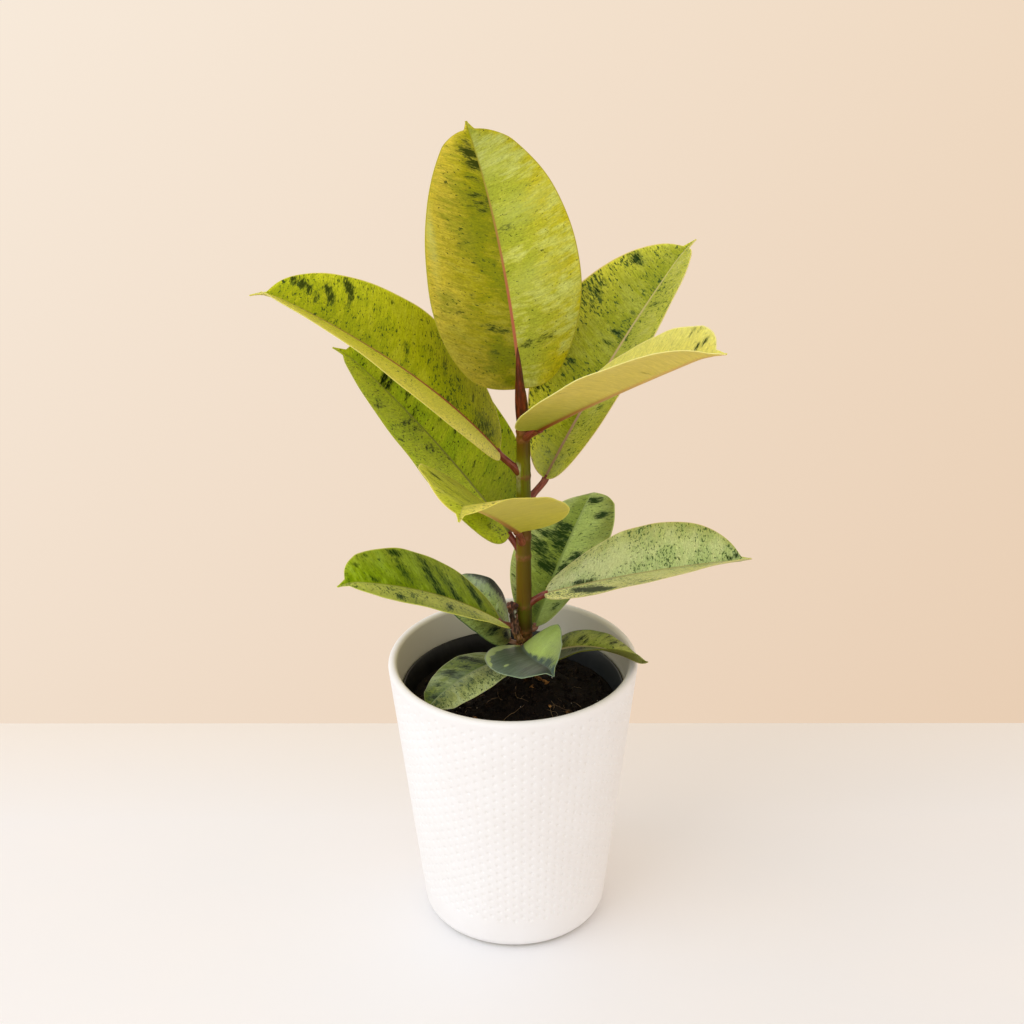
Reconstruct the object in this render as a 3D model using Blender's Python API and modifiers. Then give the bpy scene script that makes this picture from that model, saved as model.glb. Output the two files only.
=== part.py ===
# A young rubber plant with thirteen leaves, rooted in a black nursery pot that stands
# inside a white ceramic planter. The origin is the centre of the planter's underside,
# +Z is up, and the plant is seen from -Y.

import math

import bmesh
import bpy
import numpy as np
from mathutils import Vector

MM = 0.001
GAP = 0.3 * MM
MERGE = 0.01 * MM

# Planter: a tapered cup with a round lip and a rounded foot.
PLANTER_HEIGHT = 164 * MM
PLANTER_TOP_RADIUS = 70 * MM
PLANTER_FOOT_RADIUS = 51.5 * MM
PLANTER_WALL = 5 * MM
PLANTER_FLOOR = 6 * MM
PLANTER_FOOT_ROUND = 9.5 * MM
PLANTER_INNER_ROUND = 5 * MM
PLANTER_STEPS = 56

# Nursery pot: a thin tapered pot with a thicker rim band and four drain holes.
NURSERY_RIM_HEIGHT = 146 * MM
NURSERY_RIM_RADIUS = 62.2 * MM
NURSERY_BAND_HEIGHT = 7 * MM
NURSERY_BAND_TAPER = 0.8 * MM
NURSERY_BAND_STEP = 1.2 * MM
NURSERY_FOOT_RADIUS = 41.5 * MM
NURSERY_WALL = 1.2 * MM
NURSERY_STEPS = 48
DRAIN_HOLES = 4
DRAIN_RADIUS = 4.5 * MM
DRAIN_CIRCLE = 27 * MM

# Soil: it fills the nursery pot and rises to a low mound round the stem.
SOIL_EDGE_HEIGHT = 134 * MM
SOIL_MOUND = 11 * MM
SOIL_MOUND_SPREAD = 24 * MM
SOIL_LUMP = 1.3 * MM
SOIL_RINGS = 11
SOIL_STEPS = 40

# Stem: upright, a little behind and to the right of the middle of the pot.
STEM_X = 6.5 * MM
STEM_Y = 10 * MM
STEM_FOOT = 95 * MM
STEM_TOP = 304 * MM
STEM_FOOT_RADIUS = 4.5 * MM
STEM_TOP_RADIUS = 3.35 * MM
STEM_SCAR_RING = 0.4 * MM
STEM_SCAR_WIDTH = 2.2 * MM
STEM_STEPS = 16

# Bud sheath: the slender closed spike on the stem's tip.
BUD_LENGTH = 43 * MM
BUD_RADIUS = 2.6 * MM
BUD_LEAN = 2.4 * MM
BUD_FRONT = 1.4 * MM

# Dried shoot: a short shrivelled side shoot at the left of the stem's foot.
SHOOT_FOOT = 171 * MM
SHOOT_TOP = 197 * MM
SHOOT_REACH = 9.5 * MM
SHOOT_HEADING = 229
SHOOT_RADIUS = 1.7 * MM

# Leaf blades: the thickness of the blade, and of the midrib that stands out under it.
BLADE_THICKNESS = 0.8 * MM
MIDRIB_THICKNESS = 1.8 * MM
MIDRIB_HALF_WIDTH = 1.5 * MM
BLADE_BASE_HALF_WIDTH = 1.4 * MM
BLADE_TIP_HALF_WIDTH = 0.5 * MM
DRIP_TIP_HALF_WIDTH = 2.6 * MM
DRIP_TIP_SHARE = 0.05
OUTLINE_FULLNESS = 0.92
OUTLINE_BLEND = 2.5
TIP_BEND_START = 0.86
BLADE_COLUMNS = 8
LONG_BLADE = 100
STATIONS_LONG = 15
STATIONS_SHORT = 12
STALK_RADIUS_LARGE = 1.6 * MM
STALK_RADIUS_SMALL = 1.15 * MM
STALK_FLARE = 1.35

# Each leaf, from the top of the plant down. Lengths are in millimetres and angles in degrees.
# node is the height where the stalk leaves the stem, in the direction heading, climbing by
# stalk_rise over the length stalk. The blade starts at the stalk's end, turned by turn, and its
# midrib climbs from rise to end_rise, swings sideways by sweep and drops by tip_drop at the tip.
# roll tips the blade to its left, fold lifts both halves from the midrib, and each half curls.
LEAVES = {
    # The top leaf stands almost upright, with its upper face to the front.
    "leaf_01": dict(
        node=298, heading=104, stalk_rise=78, stalk=27,
        turn=3, length=154, width=92, widest=0.38,
        rise=64, end_rise=35, sweep=-1, tip_drop=6,
        roll=-21, end_roll=5, fold=-5, end_fold=29, left_curl=-8, right_curl=-11,
        colour=(0.50, 0.52, 0.04),
    ),
    # Right and forward, seen from below.
    "leaf_02": dict(
        node=294, heading=310, stalk_rise=41, stalk=20,
        turn=-13, length=173, width=68, widest=0.44,
        rise=34, end_rise=29, sweep=14, tip_drop=7,
        roll=-9, end_roll=-6, fold=17, end_fold=38, left_curl=4, right_curl=-4,
        colour=(0.55, 0.53, 0.12),
    ),
    # The long leaf at the upper left.
    "leaf_03": dict(
        node=278, heading=191, stalk_rise=42, stalk=18,
        turn=-1, length=162, width=84, widest=0.46,
        rise=51, end_rise=9, sweep=-41, tip_drop=18,
        roll=11, end_roll=-6, fold=9, end_fold=36, left_curl=-1, right_curl=1,
        colour=(0.38, 0.48, 0.05),
    ),
    # Right and backward.
    "leaf_04": dict(
        node=253, heading=41, stalk_rise=40, stalk=21,
        turn=0, length=155, width=83, widest=0.49,
        rise=49, end_rise=45, sweep=-6, tip_drop=16,
        roll=-30, end_roll=16, fold=48, end_fold=5, left_curl=25, right_curl=19,
        colour=(0.30, 0.40, 0.10),
    ),
    # Forward and a little left, seen almost along its midrib.
    "leaf_05": dict(
        node=230, heading=250, stalk_rise=46, stalk=16,
        turn=2, length=144, width=79, widest=0.45,
        rise=38, end_rise=27, sweep=7, tip_drop=40,
        roll=11, end_roll=4, fold=19, end_fold=22, left_curl=0, right_curl=8,
        colour=(0.50, 0.50, 0.12),
    ),
    # Left and backward, below and behind the third leaf.
    "leaf_06": dict(
        node=217, heading=156, stalk_rise=64, stalk=21,
        turn=9, length=140, width=100, widest=0.45,
        rise=53, end_rise=43, sweep=7, tip_drop=8,
        roll=4, end_roll=7, fold=10, end_fold=19, left_curl=5, right_curl=10,
        colour=(0.33, 0.44, 0.06),
    ),
    # The pale leaf at the lower right.
    "leaf_07": dict(
        node=192, heading=356, stalk_rise=30, stalk=15,
        turn=3, length=117, width=73, widest=0.49,
        rise=21, end_rise=-9, sweep=16, tip_drop=-8,
        roll=9, end_roll=-3, fold=2, end_fold=33, left_curl=-2, right_curl=1,
        colour=(0.40, 0.48, 0.22),
    ),
    # The lower left leaf.
    "leaf_08": dict(
        node=176, heading=209, stalk_rise=30, stalk=15,
        turn=7, length=118, width=62, widest=0.5,
        rise=41, end_rise=19, sweep=-5, tip_drop=26,
        roll=8, end_roll=11, fold=16, end_fold=19, left_curl=-8, right_curl=1,
        colour=(0.28, 0.40, 0.08),
    ),
    # Behind the stem, toward the back right, with its tip bent back.
    "leaf_09": dict(
        node=173, heading=58, stalk_rise=5, stalk=12,
        turn=4, length=103, width=53, widest=0.42,
        rise=39, end_rise=15, sweep=4, tip_drop=74,
        roll=-10, end_roll=13, fold=36, end_fold=-6, left_curl=3, right_curl=5,
        colour=(0.22, 0.34, 0.14),
    ),
    # The small front leaf, folded along its midrib.
    "leaf_10": dict(
        node=167, heading=260, stalk_rise=20, stalk=9,
        turn=11, length=91, width=45, widest=0.42,
        rise=23, end_rise=23, sweep=20, tip_drop=48,
        roll=-15, end_roll=-42, fold=23, end_fold=17, left_curl=-4, right_curl=-6,
        colour=(0.16, 0.24, 0.14),
    ),
    # Back left, below the lower left leaf.
    "leaf_11": dict(
        node=165, heading=149, stalk_rise=18, stalk=9,
        turn=10, length=57, width=50, widest=0.47,
        rise=77, end_rise=-16, sweep=-4, tip_drop=4,
        roll=-5, end_roll=3, fold=-14, end_fold=11, left_curl=-17, right_curl=-20,
        colour=(0.18, 0.28, 0.16),
    ),
    # The small leaf over the rim at the right.
    "leaf_12": dict(
        node=160, heading=334, stalk_rise=14, stalk=14,
        turn=2, length=61, width=41, widest=0.41,
        rise=39, end_rise=-31, sweep=4, tip_drop=-43,
        roll=-19, end_roll=29, fold=4, end_fold=24, left_curl=-18, right_curl=7,
        colour=(0.24, 0.30, 0.07),
    ),
    # The small leaf over the soil at the front left, its tip down inside the rim.
    "leaf_13": dict(
        node=159, heading=218, stalk_rise=8, stalk=10,
        turn=3, length=64, width=41, widest=0.46,
        rise=18, end_rise=-34, sweep=-3, tip_drop=-1,
        roll=-5, end_roll=-11, fold=10, end_fold=-7, left_curl=-5, right_curl=-12,
        colour=(0.28, 0.38, 0.20),
    ),
}


def clear_scene():
    for item in list(bpy.data.objects):
        bpy.data.objects.remove(item, do_unlink=True)


def new_collection(name):
    collection = bpy.data.collections.new(name)
    bpy.context.scene.collection.children.link(collection)
    return collection


def new_material(name, colour, roughness):
    material = bpy.data.materials.new(name)
    material.use_nodes = True
    shader = material.node_tree.nodes["Principled BSDF"]
    shader.inputs["Base Color"].default_value = (*colour, 1)
    shader.inputs["Roughness"].default_value = roughness
    shader.inputs["Metallic"].default_value = 0
    return material


def new_object(name, mesh, collection, material=None):
    item = bpy.data.objects.new(name, mesh)
    collection.objects.link(item)
    if material:
        mesh.materials.append(material)
    return item


def make_cutter(item):
    item.hide_render = True
    item.display_type = "WIRE"
    return item


def evaluated_mesh(item):
    graph = bpy.context.evaluated_depsgraph_get()
    return bpy.data.meshes.new_from_object(item.evaluated_get(graph))


def arc(centre, radius, start, end, count):
    angles = np.radians(np.linspace(start, end, count))
    return [(centre[0] + radius * math.cos(a), centre[1] + radius * math.sin(a)) for a in angles]


def turned(name, profile, steps, collection, material=None):
    """A solid of revolution from a profile of (radius, height) points that runs down its outer side."""
    mesh = bpy.data.meshes.new(name)
    points = [(radius, 0, height) for radius, height in profile]
    mesh.from_pydata(points, [(i, i + 1) for i in range(len(points) - 1)], [])
    item = new_object(name, mesh, collection, material)
    screw = item.modifiers.new("turn", "SCREW")
    screw.steps = steps
    screw.render_steps = steps
    screw.use_merge_vertices = True
    screw.merge_threshold = MERGE
    return item


def cut(item, cutter):
    boolean = item.modifiers.new("cut " + cutter.name, "BOOLEAN")
    boolean.operation = "DIFFERENCE"
    boolean.solver = "EXACT"
    boolean.object = cutter


def shade_round(mesh, angle=40):
    mesh.shade_smooth()
    mesh.set_sharp_from_angle(angle=math.radians(angle))


PLANTER_TAPER = math.atan2(PLANTER_TOP_RADIUS - PLANTER_FOOT_RADIUS, PLANTER_HEIGHT)


def planter_outer_radius(height):
    return PLANTER_FOOT_RADIUS + height * math.tan(PLANTER_TAPER)


def planter_inner_radius(height):
    return planter_outer_radius(height) - PLANTER_WALL / math.cos(PLANTER_TAPER)


def tangent_centre(wall_radius, base_height, rounding):
    """The centre of an arc that touches the tapered wall on its outer side and the base below."""
    height = base_height + rounding
    return (wall_radius(height) - rounding / math.cos(PLANTER_TAPER), height)


def make_planter(collection):
    taper = math.degrees(PLANTER_TAPER)
    lip = PLANTER_WALL / 2
    lip_height = PLANTER_HEIGHT - lip
    lip_centre = (planter_outer_radius(lip_height) - lip / math.cos(PLANTER_TAPER), lip_height)
    inner_centre = tangent_centre(planter_inner_radius, PLANTER_FLOOR, PLANTER_INNER_ROUND)
    foot_centre = tangent_centre(planter_outer_radius, 0, PLANTER_FOOT_ROUND)
    profile = [(0, PLANTER_FLOOR)]
    profile += arc(inner_centre, PLANTER_INNER_ROUND, -90, -taper, 4)
    profile += arc(lip_centre, lip, 180 - taper, -taper, 8)
    profile += arc(foot_centre, PLANTER_FOOT_ROUND, -taper, -90, 6)
    profile += [(0, 0)]
    material = new_material("white ceramic", (0.86, 0.85, 0.83), 0.5)
    return turned("planter", profile, PLANTER_STEPS, collection, material)


NURSERY_BASE = PLANTER_FLOOR + GAP
NURSERY_BAND_FOOT = NURSERY_RIM_HEIGHT - NURSERY_BAND_HEIGHT
NURSERY_NECK_RADIUS = NURSERY_RIM_RADIUS - NURSERY_BAND_TAPER - NURSERY_BAND_STEP


def nursery_inner_radius(height):
    share = (height - NURSERY_BASE) / (NURSERY_BAND_FOOT - NURSERY_BASE)
    return NURSERY_FOOT_RADIUS + share * (NURSERY_NECK_RADIUS - NURSERY_FOOT_RADIUS) - NURSERY_WALL


def make_nursery_pot(collection, cutters):
    inside_floor = NURSERY_BASE + NURSERY_WALL
    profile = [
        (0, inside_floor),
        (nursery_inner_radius(inside_floor), inside_floor),
        (nursery_inner_radius(NURSERY_BAND_FOOT), NURSERY_BAND_FOOT),
        (NURSERY_RIM_RADIUS - NURSERY_BAND_STEP, NURSERY_RIM_HEIGHT),
        (NURSERY_RIM_RADIUS, NURSERY_RIM_HEIGHT),
        (NURSERY_RIM_RADIUS - NURSERY_BAND_TAPER, NURSERY_BAND_FOOT),
        (NURSERY_NECK_RADIUS, NURSERY_BAND_FOOT),
        (NURSERY_FOOT_RADIUS, NURSERY_BASE),
        (0, NURSERY_BASE),
    ]
    material = new_material("black plastic", (0.012, 0.012, 0.013), 0.42)
    pot = turned("nursery_pot", profile, NURSERY_STEPS, collection, material)
    for index in range(DRAIN_HOLES):
        angle = 2 * math.pi * (index + 0.5) / DRAIN_HOLES
        bpy.ops.mesh.primitive_cylinder_add(
            vertices=12,
            radius=DRAIN_RADIUS,
            depth=3 * NURSERY_WALL,
            location=(
                DRAIN_CIRCLE * math.cos(angle),
                DRAIN_CIRCLE * math.sin(angle),
                NURSERY_BASE + NURSERY_WALL / 2,
            ),
        )
        drill = bpy.context.object
        drill.name = f"drain_drill_{index + 1}"
        for home in list(drill.users_collection):
            home.objects.unlink(drill)
        cutters.objects.link(make_cutter(drill))
        cut(pot, drill)
    return pot


def soil_height(x, y):
    """Height of the soil above its level at the wall: a mound at the stem, and small lumps."""
    edge = nursery_inner_radius(SOIL_EDGE_HEIGHT) - GAP
    inward = 1 - min(1, math.hypot(x, y) / edge) ** 4
    reach = math.hypot(x - STEM_X, y - STEM_Y) / SOIL_MOUND_SPREAD
    waves = math.sin(x / (7 * MM) + 1.3) * math.sin(y / (9 * MM) + 0.4)
    ripples = math.sin((x + y) / (4.1 * MM)) * math.cos((x - 2 * y) / (7.7 * MM))
    return inward * (SOIL_MOUND * math.exp(-reach * reach) + SOIL_LUMP * (waves + 0.6 * ripples))


def make_soil(collection, stem_cutter):
    bottom = NURSERY_BASE + NURSERY_WALL + GAP
    edge = nursery_inner_radius(SOIL_EDGE_HEIGHT) - GAP
    profile = [(edge * ring / SOIL_RINGS, SOIL_EDGE_HEIGHT) for ring in range(SOIL_RINGS + 1)]
    profile += [(nursery_inner_radius(bottom) - GAP, bottom), (0, bottom)]
    shape = turned("soil shape", profile, SOIL_STEPS, collection)
    mesh = evaluated_mesh(shape)
    bpy.data.objects.remove(shape, do_unlink=True)
    mesh.name = "soil"
    for vertex in mesh.vertices:
        if vertex.co.z > SOIL_EDGE_HEIGHT - MERGE:
            vertex.co.z += soil_height(vertex.co.x, vertex.co.y)
    soil = new_object("soil", mesh, collection, new_material("potting soil", (0.03, 0.02, 0.014), 0.95))
    cut(soil, stem_cutter)
    return soil


def stem_radius(height):
    share = (height - STEM_FOOT) / (STEM_TOP - STEM_FOOT)
    radius = STEM_FOOT_RADIUS + share * share * (STEM_TOP_RADIUS - STEM_FOOT_RADIUS)
    for leaf in LEAVES.values():
        offset = (height - leaf["node"] * MM) / STEM_SCAR_WIDTH
        radius = max(radius, radius + STEM_SCAR_RING * (1 - abs(offset)))
    return radius


def stem_profile(extra):
    """The stem's outline from its top to its foot, made larger by extra all over."""
    heights = {STEM_TOP - MM, STEM_FOOT, STEM_FOOT + 30 * MM}
    for leaf in LEAVES.values():
        for side in (-1, 0, 1):
            heights.add(leaf["node"] * MM + side * STEM_SCAR_WIDTH)
    spaced = []
    for height in sorted(heights, reverse=True):
        if height < STEM_TOP and (not spaced or spaced[-1] - height > MM):
            spaced.append(height)
    profile = [(0, STEM_TOP + extra), (stem_radius(STEM_TOP) - MM + extra, STEM_TOP + extra)]
    profile += [(stem_radius(height) + extra, height) for height in spaced]
    profile += [(STEM_FOOT_RADIUS + extra, STEM_FOOT - extra), (0, STEM_FOOT - extra)]
    return profile


def make_stem(collection, cutters):
    material = new_material("olive stem", (0.16, 0.13, 0.03), 0.55)
    stem = turned("stem", stem_profile(0), STEM_STEPS, collection, material)
    cutter = make_cutter(turned("stem_cutter", stem_profile(GAP), STEM_STEPS, cutters))
    for item in (stem, cutter):
        item.location = (STEM_X, STEM_Y, 0)
    return cutter


def direction(heading, rise):
    a = math.radians(heading)
    e = math.radians(rise)
    return np.array([math.cos(e) * math.cos(a), math.cos(e) * math.sin(a), math.sin(e)])


def tapered_tube(name, points, radii, collection, material, cutter=None, resolution=4):
    """A solid tube through the points as a smooth curve, with a radius at each point."""
    curve = bpy.data.curves.new(name, "CURVE")
    curve.dimensions = "3D"
    curve.bevel_depth = 1
    curve.bevel_resolution = 2
    curve.resolution_u = resolution
    curve.use_fill_caps = True
    spline = curve.splines.new("BEZIER")
    spline.bezier_points.add(len(points) - 1)
    for place, point, radius in zip(spline.bezier_points, points, radii):
        place.co = Vector(point)
        place.radius = radius
        place.handle_left_type = "AUTO"
        place.handle_right_type = "AUTO"
    path = bpy.data.objects.new(name + " path", curve)
    collection.objects.link(path)
    mesh = evaluated_mesh(path)
    bpy.data.objects.remove(path, do_unlink=True)
    solid = bmesh.new()
    solid.from_mesh(mesh)
    bmesh.ops.remove_doubles(solid, verts=solid.verts, dist=MERGE)
    bmesh.ops.recalc_face_normals(solid, faces=solid.faces)
    solid.to_mesh(mesh)
    solid.free()
    mesh.name = name
    shade_round(mesh)
    tube = new_object(name, mesh, collection, material)
    if cutter:
        cut(tube, cutter)
    return tube


def make_bud(collection):
    """The spike leans a little to the left and stands just in front of the stem's middle."""
    foot = STEM_TOP + GAP
    shares = (0, 0.3, 0.62, 1)
    radii = (BUD_RADIUS, BUD_RADIUS, 0.62 * BUD_RADIUS, 0.14 * BUD_RADIUS)
    points = [
        (STEM_X - 0.5 * MM - BUD_LEAN * share, STEM_Y - BUD_FRONT, foot + BUD_LENGTH * share)
        for share in shares
    ]
    material = new_material("bud sheath", (0.10, 0.02, 0.012), 0.45)
    return tapered_tube("bud_sheath", points, radii, collection, material)


def make_dried_shoot(collection, cutter):
    """The shoot curves out from the stem and back in, so that the stalks behind it stay clear."""
    middle = (SHOOT_FOOT + SHOOT_TOP) / 2
    route = (
        (0.30, SHOOT_HEADING + 14, SHOOT_FOOT, 0.9),
        (0.78, SHOOT_HEADING + 5, SHOOT_FOOT + 5 * MM, 0.85),
        (0.95, SHOOT_HEADING, middle + MM, 1.0),
        (1.0, SHOOT_HEADING - 8, SHOOT_TOP - 6 * MM, 0.8),
        (0.97, SHOOT_HEADING - 14, SHOOT_TOP, 1.3),
    )
    points = []
    for reach, heading, height, _ in route:
        offset = SHOOT_REACH * reach * direction(heading, 0)
        points.append((STEM_X + offset[0], STEM_Y + offset[1], height))
    radii = [SHOOT_RADIUS * row[3] for row in route]
    material = new_material("dried shoot", (0.09, 0.035, 0.02), 0.8)
    return tapered_tube("dried_shoot", points, radii, collection, material, cutter, resolution=3)


def leaf_frame(leaf, share):
    """The midrib's direction, the blade's left and its up at a share of the way to the tip."""
    heading = leaf["heading"] + leaf["turn"] + leaf["sweep"] * share
    rise = leaf["rise"] + (leaf["end_rise"] - leaf["rise"]) * share
    bend = min(1, max(0, (share - TIP_BEND_START) / (1 - TIP_BEND_START)))
    rise -= leaf["tip_drop"] * bend * bend * (3 - 2 * bend)
    roll = math.radians(leaf["roll"] + (leaf["end_roll"] - leaf["roll"]) * share)
    along = direction(heading, rise)
    up = direction(heading, rise + 90)
    left = np.cross(up, along)
    rolled_up = up * math.cos(roll) + left * math.sin(roll)
    rolled_left = left * math.cos(roll) - up * math.sin(roll)
    return along, rolled_left, rolled_up


def stalk_end(leaf):
    node = np.array([STEM_X, STEM_Y, leaf["node"] * MM])
    return node + leaf["stalk"] * MM * direction(leaf["heading"], leaf["stalk_rise"])


def half_width(leaf, share):
    """An oval outline with its widest place at widest, a drip tip, and blunt ends."""
    widest = leaf["widest"]
    oval = min(1, share / (1 - DRIP_TIP_SHARE))
    near = (oval / widest) ** (widest * OUTLINE_FULLNESS)
    far = ((1 - oval) / (1 - widest)) ** ((1 - widest) * OUTLINE_FULLNESS)
    body = near * far * leaf["width"] * MM / 2
    point = DRIP_TIP_HALF_WIDTH * min(3, (1 - share) / DRIP_TIP_SHARE)
    point *= min(1, max(0, (share - 1 + 6 * DRIP_TIP_SHARE) / (3 * DRIP_TIP_SHARE)))
    end = BLADE_BASE_HALF_WIDTH + (BLADE_TIP_HALF_WIDTH - BLADE_BASE_HALF_WIDTH) * share
    total = body**OUTLINE_BLEND + point**OUTLINE_BLEND + end**OUTLINE_BLEND
    return total ** (1 / OUTLINE_BLEND)


def midrib_points(leaf, shares):
    """The midrib's points: each step follows the mean of the directions at its two ends."""
    points = [stalk_end(leaf)]
    for before, after in zip(shares, shares[1:]):
        mean = (leaf_frame(leaf, before)[0] + leaf_frame(leaf, after)[0]) / 2
        points.append(points[-1] + mean * (after - before) * leaf["length"] * MM)
    return points


def blade_point(leaf, share, middle, across):
    """A point of the upper face: across runs from -1, the right margin, to 1, the left one."""
    _, left, up = leaf_frame(leaf, share)
    fold = math.radians(leaf["fold"] + (leaf["end_fold"] - leaf["fold"]) * share)
    curl = math.radians(leaf["left_curl"] if across > 0 else leaf["right_curl"])
    reach = abs(across)
    angle = fold + curl * reach / 2
    chord = half_width(leaf, share) * reach * np.sinc(curl * reach / 2 / math.pi)
    side = math.copysign(math.cos(angle) * chord, across)
    return middle + left * side + up * math.sin(angle) * chord


def column_place(leaf, share, column):
    """Column 0 is the midrib, 1 its edge, and the rest are spread evenly to the margin."""
    if column == 0:
        return 0
    rib = min(0.4, MIDRIB_HALF_WIDTH / half_width(leaf, share))
    sides = BLADE_COLUMNS // 2
    return math.copysign(rib + (1 - rib) * (abs(column) - 1) / (sides - 1), column)


def make_blade(name, leaf, collection):
    stations = STATIONS_LONG if leaf["length"] > LONG_BLADE else STATIONS_SHORT
    turns = np.linspace(0, math.pi, stations + 1)
    shares = [(1 - math.cos(turn)) / 2 for turn in turns]
    middles = midrib_points(leaf, shares)
    sheet = bmesh.new()
    bmesh.ops.create_grid(sheet, x_segments=stations, y_segments=BLADE_COLUMNS, size=0.5)
    rib_group = []
    for vertex in sheet.verts:
        station = round((vertex.co.x + 0.5) * stations)
        column = round(vertex.co.y * BLADE_COLUMNS)
        share = shares[station]
        across = column_place(leaf, share, column)
        vertex.co = Vector(blade_point(leaf, share, middles[station], across))
        rib_group.append(1 - 0.6 * share if column == 0 else 0)
    bmesh.ops.triangulate(sheet, faces=sheet.faces)
    mesh = bpy.data.meshes.new(name)
    sheet.to_mesh(mesh)
    sheet.free()
    blade = new_object(name, mesh, collection, new_material(name, leaf["colour"], 0.38))
    thin = BLADE_THICKNESS / MIDRIB_THICKNESS
    group = blade.vertex_groups.new(name="thickness")
    for index, rib in enumerate(rib_group):
        group.add([index], thin + (1 - thin) * rib, "REPLACE")
    solidify = blade.modifiers.new("thickness", "SOLIDIFY")
    solidify.thickness = MIDRIB_THICKNESS
    solidify.offset = -1
    solidify.vertex_group = group.name
    shade_round(mesh, 60)
    return blade


def make_stalk(name, leaf, collection, cutter):
    """The stalk leaves the stem sideways, bends up, and meets the blade in line with its midrib."""
    along, _, up = leaf_frame(leaf, 0)
    large = leaf["length"] > LONG_BLADE
    radius = STALK_RADIUS_LARGE if large else STALK_RADIUS_SMALL
    node = np.array([STEM_X, STEM_Y, leaf["node"] * MM])
    end = stalk_end(leaf) - GAP * along - up * MIDRIB_THICKNESS / 2
    outward = direction(leaf["heading"], 0)
    leaving = node + (stem_radius(node[2]) + radius) * outward
    if leaf["stalk_rise"] < 60:
        leaving = node + 0.35 * (end - node)
    arriving = end - 0.2 * leaf["stalk"] * MM * along
    points = [node, leaving, arriving, end]
    radii = [radius * STALK_FLARE, radius * STALK_FLARE, radius, radius]
    material = new_material(name, (0.22, 0.05, 0.025), 0.45)
    return tapered_tube(name, points, radii, collection, material, cutter, resolution=3)


def build():
    clear_scene()
    parts = new_collection("potted_rubber_plant")
    cutters = new_collection("cutters")
    stem_cutter = make_stem(parts, cutters)
    for item in (make_planter(parts), make_nursery_pot(parts, cutters)):
        shade_round(item.data)
    make_soil(parts, stem_cutter)
    make_bud(parts)
    make_dried_shoot(parts, stem_cutter)
    for name, leaf in LEAVES.items():
        make_blade(name, leaf, parts)
        make_stalk(name.replace("leaf", "stalk"), leaf, parts, stem_cutter)


build()
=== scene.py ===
import math
import random
from itertools import combinations

import bpy
import numpy as np
from mathutils import Euler, Matrix, Vector, noise
from mathutils.geometry import delaunay_2d_cdt


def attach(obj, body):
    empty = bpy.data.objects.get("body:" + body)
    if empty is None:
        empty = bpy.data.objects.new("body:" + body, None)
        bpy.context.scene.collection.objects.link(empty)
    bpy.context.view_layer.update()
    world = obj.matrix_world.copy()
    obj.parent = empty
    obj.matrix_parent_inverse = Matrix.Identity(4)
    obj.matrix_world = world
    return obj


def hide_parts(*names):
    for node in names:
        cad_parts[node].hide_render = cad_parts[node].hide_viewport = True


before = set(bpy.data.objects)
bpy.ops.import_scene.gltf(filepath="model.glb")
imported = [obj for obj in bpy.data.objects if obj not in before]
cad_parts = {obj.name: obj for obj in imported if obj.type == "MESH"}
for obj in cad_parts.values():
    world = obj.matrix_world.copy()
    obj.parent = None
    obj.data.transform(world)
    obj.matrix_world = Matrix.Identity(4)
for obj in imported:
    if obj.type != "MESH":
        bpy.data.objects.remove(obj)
for startup in ("Cube", "Camera", "Light"):
    if startup in bpy.data.objects:
        bpy.data.objects.remove(bpy.data.objects[startup], do_unlink=True)
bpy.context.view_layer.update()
print("frame loaded with", len(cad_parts), "CAD nodes")

mm = 0.001
scene = bpy.context.scene
scene.view_settings.view_transform = "Standard"


def linear(hexColour):
    # sRGB hex to the linear colour that a shader takes
    found = []
    for start in (1, 3, 5):
        part = int(hexColour[start:start + 2], 16) / 255
        found.append(part / 12.92 if part <= 0.04045 else ((part + 0.055) / 1.055) ** 2.4)
    return (*found, 1)


def setInputs(node, inputs):
    # gives each input a value, a hex colour, or a link from another node's output. A whole
    # node stands for the first of its outputs that is in use
    for name, value in inputs.items():
        if isinstance(value, bpy.types.Node):
            value = next(output for output in value.outputs if output.enabled)
        if isinstance(value, bpy.types.NodeSocket):
            node.id_data.links.new(value, node.inputs[name])
        else:
            node.inputs[name].default_value = linear(value) if isinstance(value, str) else value


def addNode(tree, kind, inputs=None, stops=None, **settings):
    node = tree.nodes.new("ShaderNode" + kind)
    for name, value in settings.items():
        setattr(node, name, value)
    setInputs(node, inputs or {})
    if stops:
        ramp = node.color_ramp.elements
        for position, _ in stops[1:-1]:
            ramp.new(position)
        for element, (position, colour) in zip(ramp, stops):
            element.position = position
            element.color = linear(colour)
    return node


def newMaterial(name):
    material = bpy.data.materials.new(name)
    material.use_nodes = True
    return material, material.node_tree, material.node_tree.nodes["Principled BSDF"]


def newPiece(name, points, faces, material, node=None, smooth=True):
    # one mesh of the plant, riding on the body, and standing for a CAD node where it replaces one
    mesh = bpy.data.meshes.new(name)
    mesh.from_pydata([tuple(point) for point in points], [], faces)
    mesh.update()
    if smooth:
        mesh.shade_smooth()
    piece = bpy.data.objects.new(name, mesh)
    scene.collection.objects.link(piece)
    mesh.materials.append(material)
    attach(piece, "root")
    if node:
        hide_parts(node)
    return piece


def addValues(piece, name, values):
    # a vector at each point, which the material reads by name
    layer = piece.data.attributes.new(name, "FLOAT_VECTOR", "POINT")
    layer.data.foreach_set("vector", np.asarray(values, np.float32).ravel())


def readValues(tree, name):
    # that vector, and its three parts
    vector = addNode(tree, "Attribute", attribute_name=name).outputs["Vector"]
    return vector, *addNode(tree, "SeparateXYZ", {0: vector}).outputs


def clamp(value, low=0.0, high=1.0):
    return min(high, max(low, value))


def eased(value, low, high):
    share = clamp((value - low) / (high - low))
    return share * share * (3 - 2 * share)


def between(ends, share):
    return ends[0] + (ends[1] - ends[0]) * share


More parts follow.
